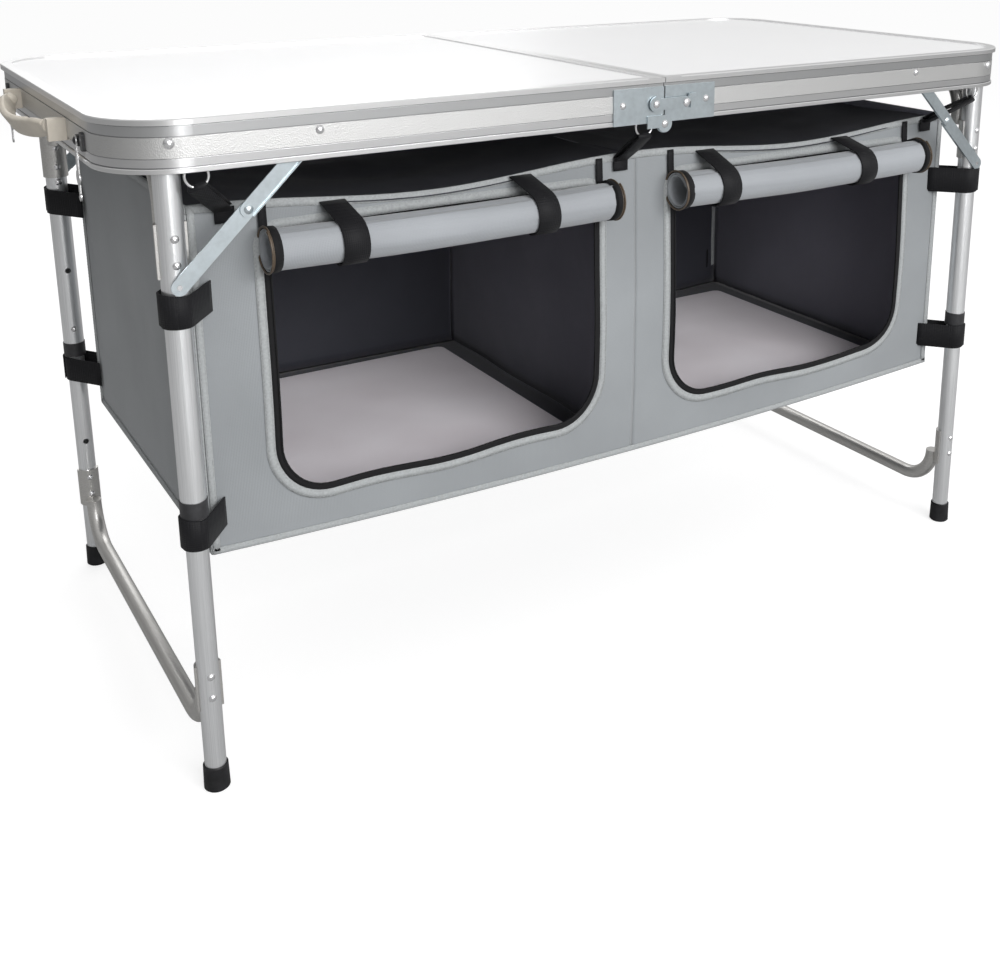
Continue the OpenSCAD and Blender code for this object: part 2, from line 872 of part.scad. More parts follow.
module button_back_left() {
    color("silver") mirror([0, 1, 0]) translate([-leg_x, -leg_y, 0]) spring_button();
}

module button_front_right() {
    color("silver") right_side() translate([-leg_x, -leg_y, 0]) spring_button();
}

module button_back_right() {
    color("silver") right_side() mirror([0, 1, 0]) translate([-leg_x, -leg_y, 0]) spring_button();
}

// ---- Organizer ----

// Outline of a door mouth on the front wall, grown by g
module mouth_outline(g) {
    x0 = -mouth_x - mouth_w;
    translate([x0 + mouth_w / 2, mouth_z + mouth_h / 2])
        rounded_rect(mouth_w + 2 * g, mouth_h + 2 * g, mouth_r + g);
}

module organizer_shell() {
    difference() {
        box([-bag_hl, -bag_hw, bag_bottom_z], [-partition_gap, bag_hw, bag_top_z]);
        box([-bag_hl + cloth_t, -bag_hw + cloth_t, bag_bottom_z + cloth_t],
            [-partition_gap - cloth_t, bag_hw - cloth_t, bag_top_z + 1]);
        translate([0, -bag_hw + cloth_t + 1, 0]) rotate([90, 0, 0])
            linear_extrude(height = cloth_t + 2) mouth_outline(0);
    }
}

module organizer_left_shell() {
    color("slategray") organizer_shell();
}

module organizer_right_shell() {
    color("slategray") right_side() organizer_shell();
}

// Dark top sheet that closes a compartment just under its upper edge
module organizer_top() {
    g = cloth_t + 0.1;
    box([-bag_hl + g, -bag_hw + g, bag_top_z - 6], [-partition_gap - g, bag_hw - g, bag_top_z - 4]);
}

module organizer_left_top() {
    color("darkslategray") organizer_top();
}

module organizer_right_top() {
    color("darkslategray") right_side() organizer_top();
}

// Pale stiffening board on the compartment floor
module floor_board() {
    z0 = bag_bottom_z + cloth_t + 0.1;
    box([-490, -218, z0], [-24, 218, z0 + 3]);
}

module left_floor_board() {
    color("mistyrose") floor_board();
}

module right_floor_board() {
    color("mistyrose") right_side() floor_board();
}

// Rolled-up door strapped under the upper edge
module rolled_door() {
    xcyl(-bag_hw - roll_d / 2 - 0.5, roll_z, roll_d / 2, -roll_x[1], -roll_x[0]);
}

module left_rolled_door() {
    color("lightslategray") rolled_door();
}

module right_rolled_door() {
    color("lightslategray") right_side() rolled_door();
}

// Zip tape round the lower part of the mouth
module door_zip() {
    translate([0, -bag_hw - 0.1, 0]) rotate([90, 0, 0]) linear_extrude(height = 1.6) difference() {
        mouth_outline(5);
        mouth_outline(-1);
        translate([-mouth_x - mouth_w - 10, roll_z - roll_d / 2 - 1])
            square([mouth_w + 20, mouth_h]);
    }
}

module left_door_zip() {
    color("black") door_zip();
}

module right_door_zip() {
    color("black") right_side() door_zip();
}

// Strap round a leg, with both ends running to the bag's corner
module leg_loop(leg_r, z0) {
    r_in = leg_r + 0.5;
    r_out = r_in + 2;
    difference() {
        translate([-leg_x, -leg_y, z0]) rotate([0, 0, atan2(leg_y - bag_hw, leg_x - bag_hl)])
            difference() {
                union() {
                    cylinder(r = r_out, h = strap_w);
                    translate([0, -r_out, 0]) cube([62, 2 * r_out, strap_w]);
                }
                translate([0, 0, -1]) cylinder(r = r_in, h = strap_w + 2);
                translate([0, -r_in, -1]) cube([63, 2 * r_in, strap_w + 2]);
            }
        box([-bag_hl - 0.1, -bag_hw - 0.1, z0 - 1], [0, 0, z0 + strap_w + 1]);
    }
}

// Hanger strap from the bag's top edge, doubled round the ring at x and notched for its wire
module hanger(x, w) {
    difference() {
        translate([x, -hook_y, ring_z - ring_r]) rotate([-hanger_angle, 0, 0]) difference() {
            union() {
                xcyl(0, 0, hanger_out, -w / 2, w / 2);
                box([-w / 2, 0, -hanger_out], [w / 2, hanger_l, hanger_out]);
            }
            xcyl(0, 0, hanger_in, -w, w);
            box([-w, 0, -hanger_in], [w, hanger_l - 8, hanger_in]);
        }
        box([-bag_hl - 20, -bag_hw - 0.1, bag_bottom_z], [0, 0, bag_top_z + 20]);
        hook_ring(x, wire_r + 0.3);
    }
}

module webbing(hooks) {
    front_and_back() {
        leg_loop(upper_r, loop_z[0] - strap_w / 2);
        leg_loop(lower_r, loop_z[1] - strap_w / 2);
        for (x = hooks)
            hanger(-x, 16);
    }
}

module left_webbing() {
    color("black") webbing(hook_x);
}

module right_webbing() {
    color("black") right_side() webbing([hook_x[1]]);
}

left_board();
left_edge_rail();
left_seam_rail();
left_rail_rivets();
left_centre_plates();
centre_rivets();
left_handle_brackets();
left_bag_hooks();
latch_windows();
right_board();
right_edge_rail();
right_seam_rail();
right_rail_rivets();
right_centre_plates();
lock_studs();
right_handle_brackets();
right_bag_hooks();
catch_studs();
left_handle();
right_handle();
front_lock_link();
back_lock_link();
front_latch_hook();
back_latch_hook();
left_upper_tubes();
left_crossbar();
left_collars();
left_frame_rivets();
right_upper_tubes();
right_crossbar();
right_collars();
right_frame_rivets();
left_lower_tubes();
left_foot_bar();
left_foot_caps();
left_foot_bar_rivets();
right_lower_tubes();
right_foot_bar();
right_foot_caps();
right_foot_bar_rivets();
left_upper_stays();
left_lower_stays();
right_upper_stays();
right_lower_stays();
button_front_left();
button_back_left();
button_front_right();
button_back_right();
organizer_left_shell();
organizer_left_top();
left_floor_board();
left_rolled_door();
left_door_zip();
left_webbing();
organizer_right_shell();
organizer_right_top();
right_floor_board();
right_rolled_door();
right_door_zip();
right_webbing();
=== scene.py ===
"""Looks of the folding camp kitchen table: materials, the cloth organizer and the carry handles."""
import json
import math

import bpy
from mathutils import Matrix, Vector, noise


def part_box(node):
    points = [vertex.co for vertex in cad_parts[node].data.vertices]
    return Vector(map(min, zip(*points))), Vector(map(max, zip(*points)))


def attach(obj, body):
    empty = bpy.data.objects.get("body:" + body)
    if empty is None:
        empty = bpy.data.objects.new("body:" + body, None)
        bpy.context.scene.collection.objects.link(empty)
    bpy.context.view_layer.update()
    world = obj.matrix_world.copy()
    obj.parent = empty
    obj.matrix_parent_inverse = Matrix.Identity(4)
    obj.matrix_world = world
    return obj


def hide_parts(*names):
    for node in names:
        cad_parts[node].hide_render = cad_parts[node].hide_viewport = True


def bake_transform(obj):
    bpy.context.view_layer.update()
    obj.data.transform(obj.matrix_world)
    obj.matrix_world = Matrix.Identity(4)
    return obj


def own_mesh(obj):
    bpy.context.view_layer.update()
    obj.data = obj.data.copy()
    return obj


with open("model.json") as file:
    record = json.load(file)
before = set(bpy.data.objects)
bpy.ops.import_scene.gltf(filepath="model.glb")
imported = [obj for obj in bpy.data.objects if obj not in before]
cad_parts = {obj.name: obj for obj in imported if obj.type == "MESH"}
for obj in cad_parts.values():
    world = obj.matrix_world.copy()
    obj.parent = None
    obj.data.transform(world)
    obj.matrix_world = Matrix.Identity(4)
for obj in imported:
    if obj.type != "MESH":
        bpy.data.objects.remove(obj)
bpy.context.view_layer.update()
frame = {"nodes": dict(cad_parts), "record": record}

NODES = frame["nodes"]
SIDES = {"left": -1, "right": 1}


def node_box(name):
    """Lowest and highest corner of a CAD node."""
    low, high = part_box(name)
    return Vector(low), Vector(high)


# ---- Sizes, taken from the frame where a CAD node gives them ----

BAG_LOW, BAG_HIGH = node_box("organizer_right_shell")
BAG_X = BAG_HIGH.x
BAG_Y = BAG_HIGH.y
BAG_BOTTOM = BAG_LOW.z
BAG_TOP = BAG_HIGH.z
ROLL_LOW, ROLL_HIGH = node_box("right_rolled_door")
ROLL_R = (ROLL_HIGH.z - ROLL_LOW.z) / 2
ROLL_Z = (ROLL_HIGH.z + ROLL_LOW.z) / 2
ROLL_Y = (ROLL_HIGH.y + ROLL_LOW.y) / 2
ZIP_LOW, ZIP_HIGH = node_box("right_door_zip")
MOUTH_INNER = ZIP_LOW.x + 0.005
MOUTH_OUTER = ZIP_HIGH.x - 0.005
MOUTH_BOTTOM = ZIP_LOW.z + 0.005
MOUTH_TOP = 0.570
MOUTH_R = 0.056
MOUTH_TOP_R = 0.014
BOARD_LOW, BOARD_HIGH = node_box("right_floor_board")
RAIL_LOW, RAIL_HIGH = node_box("right_edge_rail")
HOOK_LOW, HOOK_HIGH = node_box("right_bag_hooks")
LEG_LOW, LEG_HIGH = node_box("right_upper_tubes")
LEG_X = (LEG_LOW.x + LEG_HIGH.x) / 2
UPPER_R = (LEG_HIGH.x - LEG_LOW.x) / 2
LEG_Y = LEG_HIGH.y - UPPER_R
LOWER_LOW, LOWER_HIGH = node_box("right_lower_tubes")
LOWER_R = (LOWER_HIGH.x - LOWER_LOW.x) / 2
LOOP_Z = {"upper": 0.517, "lower": 0.289}
STRAP_W = 0.032
CLOTH_T = 0.0012
HOOK_X = (HOOK_LOW.x + HOOK_HIGH.x) / 2
CENTRE_HOOK_X = -0.022
PATCH_X = 0.484
RING_BOTTOM = HOOK_LOW.z + 0.0012
RING_Y = 0.2906
HANDLE_PIVOT = (0.61, 0.674)
HANDLE_CHORD = 0.108
HANDLE_BULGE = 0.017
HANDLE_DROOP = math.radians(32)
FRAME_WIDTH = 1000
FOCAL = 1245
SKY_WAY = (0.5, -0.35, 0.79)
SKY_DIM = 0.04
SKY_BRIGHT = 1.04
FLOOR_HALF = 30
FLOOR_GREY = (0.42, 0.42, 0.42)
FLOOR_LIFT = 0.70


# ---- Camera, light and floor ----


def make_camera():
    """The photograph's viewing angle, with a modest shift for its upright lines."""
    azimuth, elevation, roll = 0.5735, 0.2559, 0.0007
    place = Vector((-0.8277, -1.4069, 0.8766))
    ahead = Vector(
        (
            math.sin(azimuth) * math.cos(elevation),
            math.cos(azimuth) * math.cos(elevation),
            -math.sin(elevation),
        )
    )
    right = ahead.cross(Vector((0, 0, 1))).normalized()
    up = right.cross(ahead)
    turn_right = right * math.cos(roll) + up * math.sin(roll)
    turn_up = up * math.cos(roll) - right * math.sin(roll)
    data = bpy.data.cameras.new("camera")
    data.sensor_width = 36
    data.lens = FOCAL / FRAME_WIDTH * data.sensor_width
    data.shift_x = -0.08
    data.shift_y = -0.24
    data.clip_start = 0.02
    camera = bpy.data.objects.new("camera", data)
    bpy.context.collection.objects.link(camera)
    axes = Matrix((turn_right, turn_up, -ahead)).transposed().to_4x4()
    camera.matrix_world = Matrix.Translation(place) @ axes
    bpy.context.scene.camera = camera


def area_light(name, place, target, size, power):
    """A soft rectangle of light: size is its width and height."""
    data = bpy.data.lights.new(name, "AREA")
    data.shape = "RECTANGLE"
    data.size, data.size_y = size
    data.energy = power
    light = bpy.data.objects.new(name, data)
    bpy.context.collection.objects.link(light)
    light.location = place
    aim = Vector(target) - Vector(place)
    light.rotation_euler = aim.to_track_quat("-Z", "Y").to_euler()


def make_world():
    """Plain white behind the table; the light it gives is softer, and comes from above, right and front."""
    world = bpy.data.worlds.new("studio")
    world.use_nodes = True
    tree = world.node_tree
    shown = tree.nodes["Background"]
    shown.inputs["Color"].default_value = (1, 1, 1, 1)
    lighting = tree.nodes.new("ShaderNodeBackground")
    toward = tree.nodes.new("ShaderNodeVectorMath")
    toward.operation = "DOT_PRODUCT"
    toward.inputs[1].default_value = SKY_WAY
    level = tree.nodes.new("ShaderNodeMapRange")
    level.inputs["From Min"].default_value = -1
    level.inputs["To Min"].default_value = SKY_DIM
    level.inputs["To Max"].default_value = SKY_BRIGHT
    mix = tree.nodes.new("ShaderNodeMixShader")
    tree.links.new(tree.nodes.new("ShaderNodeTexCoord").outputs["Generated"], toward.inputs[0])
    tree.links.new(toward.outputs["Value"], level.inputs["Value"])
    tree.links.new(level.outputs["Result"], lighting.inputs["Strength"])
    tree.links.new(tree.nodes.new("ShaderNodeLightPath").outputs["Is Camera Ray"], mix.inputs["Fac"])
    tree.links.new(lighting.outputs["Background"], mix.inputs[1])
    tree.links.new(shown.outputs["Background"], mix.inputs[2])
    tree.links.new(mix.outputs["Shader"], tree.nodes["World Output"].inputs["Surface"])
    bpy.context.scene.world = world


def make_studio():
    """Soft lights and the floor, which looks white to the camera but lights the table as pale grey."""
    make_world()
    bpy.context.scene.view_settings.view_transform = "Standard"
    area_light("key", (0.15, -3.6, 2.0), (0, 0, 0.4), (3.0, 1.4), 120)
    area_light("rim", (0.4, 2.4, 2.4), (0, 0, 0.6), (2.4, 2.4), 28)
    area_light("front_strip", (-0.55, -2.9, 0.35), (-0.45, -0.3, 0.45), (0.3, 1.0), 4)
    corners = [(x * FLOOR_HALF, y * FLOOR_HALF, 0) for x, y in ((-1, -1), (1, -1), (1, 1), (-1, 1))]
    mesh = bpy.data.meshes.new("floor")
    mesh.from_pydata(corners, [], [(0, 1, 2, 3)])
    floor = bpy.data.objects.new("floor", mesh)
    bpy.context.collection.objects.link(floor)
    finish = Finish("studio_floor", FLOOR_GREY, 0.9)
    path = finish.tree.nodes.new("ShaderNodeLightPath")
    lift = finish.math("MULTIPLY", path.outputs["Is Camera Ray"], FLOOR_LIFT)
    finish.set(Emission_Color=(1, 1, 1, 1), Specular_IOR_Level=0.0)
    finish.tree.links.new(lift, finish.bsdf.inputs["Emission Strength"])
    floor.data.materials.append(finish.mat)


# ---- Materials ----


class Finish:
    """A Principled material with helpers for its procedural detail, in row-frame coordinates."""

    def __init__(self, name, color, roughness, metallic=0.0):
        self.mat = bpy.data.materials.new(name)
        self.mat.use_nodes = True
        self.tree = self.mat.node_tree
        self.bsdf = self.tree.nodes["Principled BSDF"]
        self.bsdf.inputs["Base Color"].default_value = (*color, 1)
        self.bsdf.inputs["Roughness"].default_value = roughness
        self.bsdf.inputs["Metallic"].default_value = metallic
        self.color = color
        self.coords = self.tree.nodes.new("ShaderNodeTexCoord").outputs["Object"]
        self.height = None

    def stretched(self, stretch):
        node = self.tree.nodes.new("ShaderNodeMapping")
        node.inputs["Scale"].default_value = stretch
        self.tree.links.new(self.coords, node.inputs["Vector"])
        return node.outputs["Vector"]

    def noise(self, scale, stretch=(1, 1, 1), detail=3.0):
        node = self.tree.nodes.new("ShaderNodeTexNoise")
        node.inputs["Scale"].default_value = scale
        node.inputs["Detail"].default_value = detail
        self.tree.links.new(self.stretched(stretch), node.inputs["Vector"])
        return node.outputs["Fac"]

    def pebbles(self, scale):
        node = self.tree.nodes.new("ShaderNodeTexVoronoi")
        node.inputs["Scale"].default_value = scale
        self.tree.links.new(self.coords, node.inputs["Vector"])
        return node.outputs["Distance"]

    def wave(self, axis, period):
        """Sine ridges across one axis, period in metres."""
        node = self.tree.nodes.new("ShaderNodeTexWave")
        node.bands_direction = axis
        node.inputs["Scale"].default_value = math.pi / (10 * period)
        self.tree.links.new(self.coords, node.inputs["Vector"])
        return node.outputs["Fac"]

    def math(self, operation, a, b):
        node = self.tree.nodes.new("ShaderNodeMath")
        node.operation = operation
        for socket, value in zip(node.inputs, (a, b)):
            if isinstance(value, (int, float)):
                socket.default_value = value
            else:
                self.tree.links.new(value, socket)
        return node.outputs[0]

    def weave(self, period):
        xy = self.math("ADD", self.wave("X", period), self.wave("Y", period))
        return self.math("ADD", xy, self.wave("Z", period))

    def ramp(self, value, stops, constant=False):
        """Colours along value: stops are (place, (r, g, b)) pairs."""
        node = self.tree.nodes.new("ShaderNodeValToRGB")
        if constant:
            node.color_ramp.interpolation = "CONSTANT"
        points = node.color_ramp.elements
        while len(points) < len(stops):
            points.new(0.5)
        for point, (place, color) in zip(points, stops):
            point.position = place
            point.color = (*color, 1)
        self.tree.links.new(value, node.inputs["Fac"])
        return node.outputs["Color"]

    def vary_color(self, value, low, high, start=0.3, end=0.7):
        dark = tuple(c * low for c in self.color)
        light = tuple(min(c * high, 1) for c in self.color)
        color = self.ramp(value, [(start, dark), (end, light)])
        self.tree.links.new(color, self.bsdf.inputs["Base Color"])
        return self

    def vary_roughness(self, value, low, high):
        node = self.tree.nodes.new("ShaderNodeMapRange")
        node.inputs["To Min"].default_value = low
        node.inputs["To Max"].default_value = high
        self.tree.links.new(value, node.inputs["Value"])
        self.tree.links.new(node.outputs["Result"], self.bsdf.inputs["Roughness"])
        return self

    def bump(self, value, distance, strength=1.0):
        """Adds relief; later calls lie on top of earlier ones."""
        node = self.tree.nodes.new("ShaderNodeBump")
        node.inputs["Distance"].default_value = distance
        node.inputs["Strength"].default_value = strength
        self.tree.links.new(value, node.inputs["Height"])
        if self.height is not None:
            self.tree.links.new(self.height, node.inputs["Normal"])
        self.height = node.outputs["Normal"]
        self.tree.links.new(self.height, self.bsdf.inputs["Normal"])
        return self

    def set(self, **values):
        for name, value in values.items():
            self.bsdf.inputs[name.replace("_", " ")].default_value = value
        return self


def brushed(name, color, roughness, stretch):
    """Metal with fine lines, drawn out along the axis whose stretch is small."""
    finish = Finish(name, color, roughness, 1.0)
    lines = finish.noise(60, stretch, 4)
    clouds = finish.noise(14)
    finish.vary_color(lines, 0.9, 1.06)
    finish.vary_roughness(clouds, roughness - 0.07, roughness + 0.1)
    return finish.bump(lines, 0.00004, 0.5)


def cloth(name, color, period, sheen=0.25, roughness=0.8):
    """Woven cloth: a fine weave, soft creases and slightly uneven dye."""
    finish = Finish(name, color, roughness)
    finish.vary_color(finish.noise(5, detail=5), 0.9, 1.08)
    finish.vary_roughness(finish.noise(30), roughness - 0.08, roughness + 0.08)
    finish.bump(finish.noise(16, detail=2), 0.003, 0.35)
    finish.bump(finish.weave(period), 0.00015, 0.5)
    return finish.set(Sheen_Weight=sheen, Specular_IOR_Level=0.3)


def ribbed_tape(name, color, period, roughness=0.7):
    """Woven tape: ribs with a little fuzz."""
    finish = Finish(name, color, roughness)
    finish.vary_color(finish.noise(400, detail=3), 0.88, 1.1)
    finish.bump(finish.weave(period), 0.0002, 0.5)
    finish.bump(finish.noise(900), 0.00006, 0.4)
    return finish.set(Sheen_Weight=0.03, Specular_IOR_Level=0.2)


def add_board_and_rail(made):
    """White laminate, and the edge rail with its embossed band and painted shade along its grooves."""
    laminate = Finish("laminate", (0.96, 0.96, 0.965), 0.3)
    laminate.vary_color(laminate.noise(3, detail=6), 0.985, 1.01)
    laminate.vary_roughness(laminate.noise(40, detail=6), 0.26, 0.38)
    laminate.bump(laminate.noise(220), 0.00003, 0.4)
    made["laminate"] = laminate.set(Coat_Weight=0.15, Coat_Roughness=0.25)

    rail = Finish("rail_aluminium", (0.78, 0.78, 0.78), 0.34, 1.0)
    split = rail.tree.nodes.new("ShaderNodeSeparateXYZ")
    rail.tree.links.new(rail.coords, split.inputs["Vector"])
    low, high = RAIL_LOW.z, RAIL_HIGH.z
    level = rail.math("DIVIDE", rail.math("SUBTRACT", split.outputs["Z"], low), high - low)
    # Colours up the rail's height: the narrow dark stops (0.30 to 0.34) are painted shade along the grooves;
    # the other stops are the bands' tones.
    band_tones_with_groove_shade = [
        (0.0, (0.84, 0.84, 0.84)),
        (0.092, (0.30, 0.30, 0.31)),
        (0.112, (0.72, 0.72, 0.725)),
        (0.264, (0.34, 0.34, 0.35)),
        (0.28, (0.62, 0.62, 0.615)),
        (0.66, (0.34, 0.34, 0.35)),
        (0.676, (0.60, 0.605, 0.61)),
        (0.856, (0.32, 0.32, 0.33)),
        (0.872, (0.86, 0.86, 0.86)),
    ]
    rail.tree.links.new(rail.ramp(level, band_tones_with_groove_shade, True), rail.bsdf.inputs["Base Color"])
    embossed = [(0.0, (0, 0, 0)), (0.28, (1, 1, 1)), (0.66, (0, 0, 0))]
    rail.vary_roughness(rail.ramp(level, embossed, True), 0.3, 0.46)
    pebbled = rail.math("MULTIPLY", rail.ramp(level, embossed, True), rail.pebbles(760))
    rail.bump(rail.noise(60, (0.2, 0.2, 60), 4), 0.00004, 0.5)
    made["rail_aluminium"] = rail.bump(pebbled, 0.00028, 0.6)


def add_metals(made):
    made["rivet_steel"] = brushed("rivet_steel", (0.80, 0.80, 0.81), 0.22, (1, 1, 1))
    zinc = Finish("zinc_steel", (0.56, 0.62, 0.65), 0.34, 1.0)
    zinc.vary_color(zinc.noise(180), 0.93, 1.04)
    zinc.vary_roughness(zinc.noise(40), 0.28, 0.42)
    made["zinc_steel"] = zinc.bump(zinc.noise(700), 0.00003, 0.4)
    made["wire_steel"] = brushed("wire_steel", (0.72, 0.72, 0.72), 0.28, (1, 1, 4))
    tube = brushed("tube_aluminium", (0.86, 0.87, 0.88), 0.3, (16, 16, 0.2))
    made["tube_aluminium"] = tube.set(Metallic=0.9)
    made["bar_aluminium"] = brushed("bar_aluminium", (0.64, 0.63, 0.61), 0.36, (12, 0.3, 12))


def add_plastics(made):
    ivory = Finish("ivory_plastic", (0.62, 0.57, 0.49), 0.5)
    ivory.vary_color(ivory.noise(60, detail=5), 0.94, 1.05)
    ivory.vary_roughness(ivory.noise(200), 0.42, 0.58)
    made["ivory_plastic"] = ivory.bump(ivory.noise(700), 0.00008, 0.5)

    black = Finish("black_plastic", (0.02, 0.02, 0.022), 0.42)
    black.vary_color(black.noise(120), 0.8, 1.5)
    black.vary_roughness(black.noise(300), 0.34, 0.52)
    made["black_plastic"] = black.bump(black.noise(900), 0.00006, 0.5)

    rubber = Finish("black_rubber", (0.009, 0.009, 0.010), 0.5)
    rubber.vary_color(rubber.noise(90, detail=6), 0.7, 1.8)
    rubber.vary_roughness(rubber.noise(160), 0.4, 0.65)
    made["black_rubber"] = rubber.bump(rubber.noise(600), 0.0001, 0.5).set(Specular_IOR_Level=0.3)


def add_cloths(made):
    """Cloth, tape and zip. Two copies of dark_cloth in other tones are matched to the photo: a paler one,
    painted light, for the end linings and the partition, and one without sheen, painted shade, for the top
    sheet.
    """
    made["grey_cloth"] = cloth("grey_cloth", (0.266, 0.281, 0.293), 0.0016)
    made["door_cloth"] = cloth("door_cloth", (0.31, 0.325, 0.345), 0.0016, 0.25, 0.62)
    made["dark_cloth"] = cloth("dark_cloth", (0.042, 0.043, 0.056), 0.0018, 0.2, 0.6)
    # Painted light: dark cloth made paler for the end linings and the partition, which the lamps leave too
    # dark.
    made["side_lining"] = cloth("side_lining", (0.15, 0.15, 0.185), 0.0018, 0.2, 0.6)
    # Painted shade: dark cloth with no sheen and a little less blue, so the top sheet looks shaded.
    made["top_cloth"] = cloth("top_cloth", (0.042, 0.043, 0.052), 0.0018, 0.0, 0.8)
    board = cloth("pale_board", (0.95, 0.88, 0.93), 0.0012, 0.3, 0.7)
    made["pale_board"] = board.vary_color(board.noise(6, detail=2), 0.93, 1.08)
    made["binding"] = ribbed_tape("binding", (0.36, 0.375, 0.38), 0.0012)
    made["thread"] = ribbed_tape("thread", (0.46, 0.47, 0.475), 0.0006)
    made["zip_tape"] = ribbed_tape("zip_tape", (0.008, 0.008, 0.009), 0.001)
    made["webbing"] = ribbed_tape("webbing", (0.008, 0.008, 0.0095), 0.0022, 0.62)
    coil = Finish("zip_coil", (0.085, 0.062, 0.042), 0.45)
    coil.vary_color(coil.noise(500), 0.7, 1.4)
    made["zip_coil"] = coil.bump(coil.wave("X", 0.0012), 0.0002, 0.6)
    # Painted shade: a near-black finish that stands in for the dark inside of holes.
    hole = Finish("hole_dark", (0.012, 0.012, 0.012), 0.8)
    made["hole_dark"] = hole.vary_color(hole.noise(200), 0.8, 1.3)


def make_materials():
    made = {}
    add_board_and_rail(made)
    add_metals(made)
    add_plastics(made)
    add_cloths(made)
    return {name: finish.mat for name, finish in made.items()}


# ---- Mesh helpers ----


def mesh_piece(name, verts, faces, materials, slot, smooth=True):
    mesh = bpy.data.meshes.new(name)
    mesh.from_pydata([tuple(v) for v in verts], [], faces)
    mesh.validate()
    mesh.update()
    if smooth:
        mesh.shade_smooth()
    piece = bpy.data.objects.new(name, mesh)
    bpy.context.collection.objects.link(piece)
    for material in materials:
        mesh.materials.append(MATERIALS[material])
    return piece


def skin(rows, closed_rows=False, closed_stack=False):
    """Vertices and faces of a skin over rows of points."""
    count = len(rows[0])
    verts = [p for row in rows for p in row]
    faces = []
    across = count if closed_rows else count - 1
    for i in range(len(rows) if closed_stack else len(rows) - 1):
        for j in range(across):
            a = i * count + j
            b = i * count + (j + 1) % count
            k = (i + 1) % len(rows)
            faces.append((a, b, k * count + (j + 1) % count, k * count + j))
    return verts, faces


def joined(parts):
    """Several (verts, faces) lists as one."""
    verts, faces = [], []
    for v, f in parts:
        base = len(verts)
        verts += v
        faces += [tuple(i + base for i in face) for face in f]
    return verts, faces


def settle(piece):
    """Applies a piece's modifiers to its mesh."""
    bpy.context.view_layer.update()
    evaluated = piece.evaluated_get(bpy.context.evaluated_depsgraph_get())
    mesh = bpy.data.meshes.new_from_object(evaluated)
    piece.modifiers.clear()
    piece.data = mesh
    return piece


def thicken(piece, thickness, lined=False):
    """Gives a sheet its thickness, inward from its face, with the lining's material inside."""
    solid = piece.modifiers.new("thickness", "SOLIDIFY")
    solid.thickness = thickness
    solid.offset = -1
    if lined:
        solid.material_offset = 1
    return settle(piece)


def ribbon(path, across, width, thickness):
    """A soft-edged band along path: across holds its width direction at each point."""
    rows = []
    for i, p in enumerate(path):
        ahead = path[min(i + 1, len(path) - 1)] - path[max(i - 1, 0)]
        side = across[i].normalized()
        out = side.cross(ahead).normalized()
        half = width / 2
        edge = thickness * 0.3
        section = [
            (-half, 0),
            (-half + edge, thickness / 2),
            (half - edge, thickness / 2),
            (half, 0),
            (half - edge, -thickness / 2),
            (-half + edge, -thickness / 2),
        ]
        rows.append([p + side * s + out * t for s, t in section])
    verts, faces = skin(rows, closed_rows=True)
    last = len(verts) - 6
    faces.append(tuple(range(5, -1, -1)))
    faces.append(tuple(last + k for k in range(6)))
    return verts, faces


def ride_with_cloth(piece):
    """Bakes a cloth piece's placement into its mesh."""
    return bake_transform(piece)


def spread(start, end, count):
    return [start + (end - start) * i / (count - 1) for i in range(count)]


# ---- The organizer's shape ----


def bottom_z(x):
    """Height of the bottom edge: a little higher at the corners."""
    return BAG_BOTTOM - 0.006 + 0.012 * (x / BAG_X) ** 2


def top_z(x):
    """Height of the top edge: it hangs from the centre and the ends, and sags between."""
    return BAG_TOP + 0.008 - 0.016 * math.sin(math.pi * abs(x) / BAG_X) ** 2


def crease(point, scale, amount):
    return amount * noise.noise(Vector(point) * scale)


def front_y(x, z):
    """The front wall: held at its edges, with a soft bulge and creases that run down from the top."""
    height = (z - bottom_z(x)) / (top_z(x) - bottom_z(x))
    height = min(max(height, 0), 1)
    held = math.sin(math.pi * height)
    end = 1 - (abs(x) / BAG_X) ** 8
    bulge = 0.004 * held * end
    folds = crease((x * 2.4, 0.3, z * 0.9), 9, 0.0035) * held * end
    pull = 0.005 * height ** 6 * math.sin(math.pi * abs(x) / BAG_X) * (1 if x < 0 else 1.3)
    return -BAG_Y - bulge - folds + pull


def back_y(x, z):
    held = math.sin(math.pi * (z - bottom_z(x)) / (top_z(x) - bottom_z(x)))
    return BAG_Y + (0.004 + crease((x * 2, 1.7, z), 8, 0.004)) * held


def end_x(side, y, z):
    low, high = bottom_z(BAG_X), top_z(BAG_X)
    held = math.sin(math.pi * (z - low) / (high - low)) * math.cos(math.pi * y / (2 * BAG_Y))
    return side * (BAG_X - (0.007 + crease((side, y * 1.5, z), 7, 0.005)) * held)


def sheet_grid(name, u_values, v_values, point, materials, slot):
    rows = [[Vector(point(u, v)) for u in u_values] for v in v_values]
    return mesh_piece(name, *skin(rows), materials, slot)


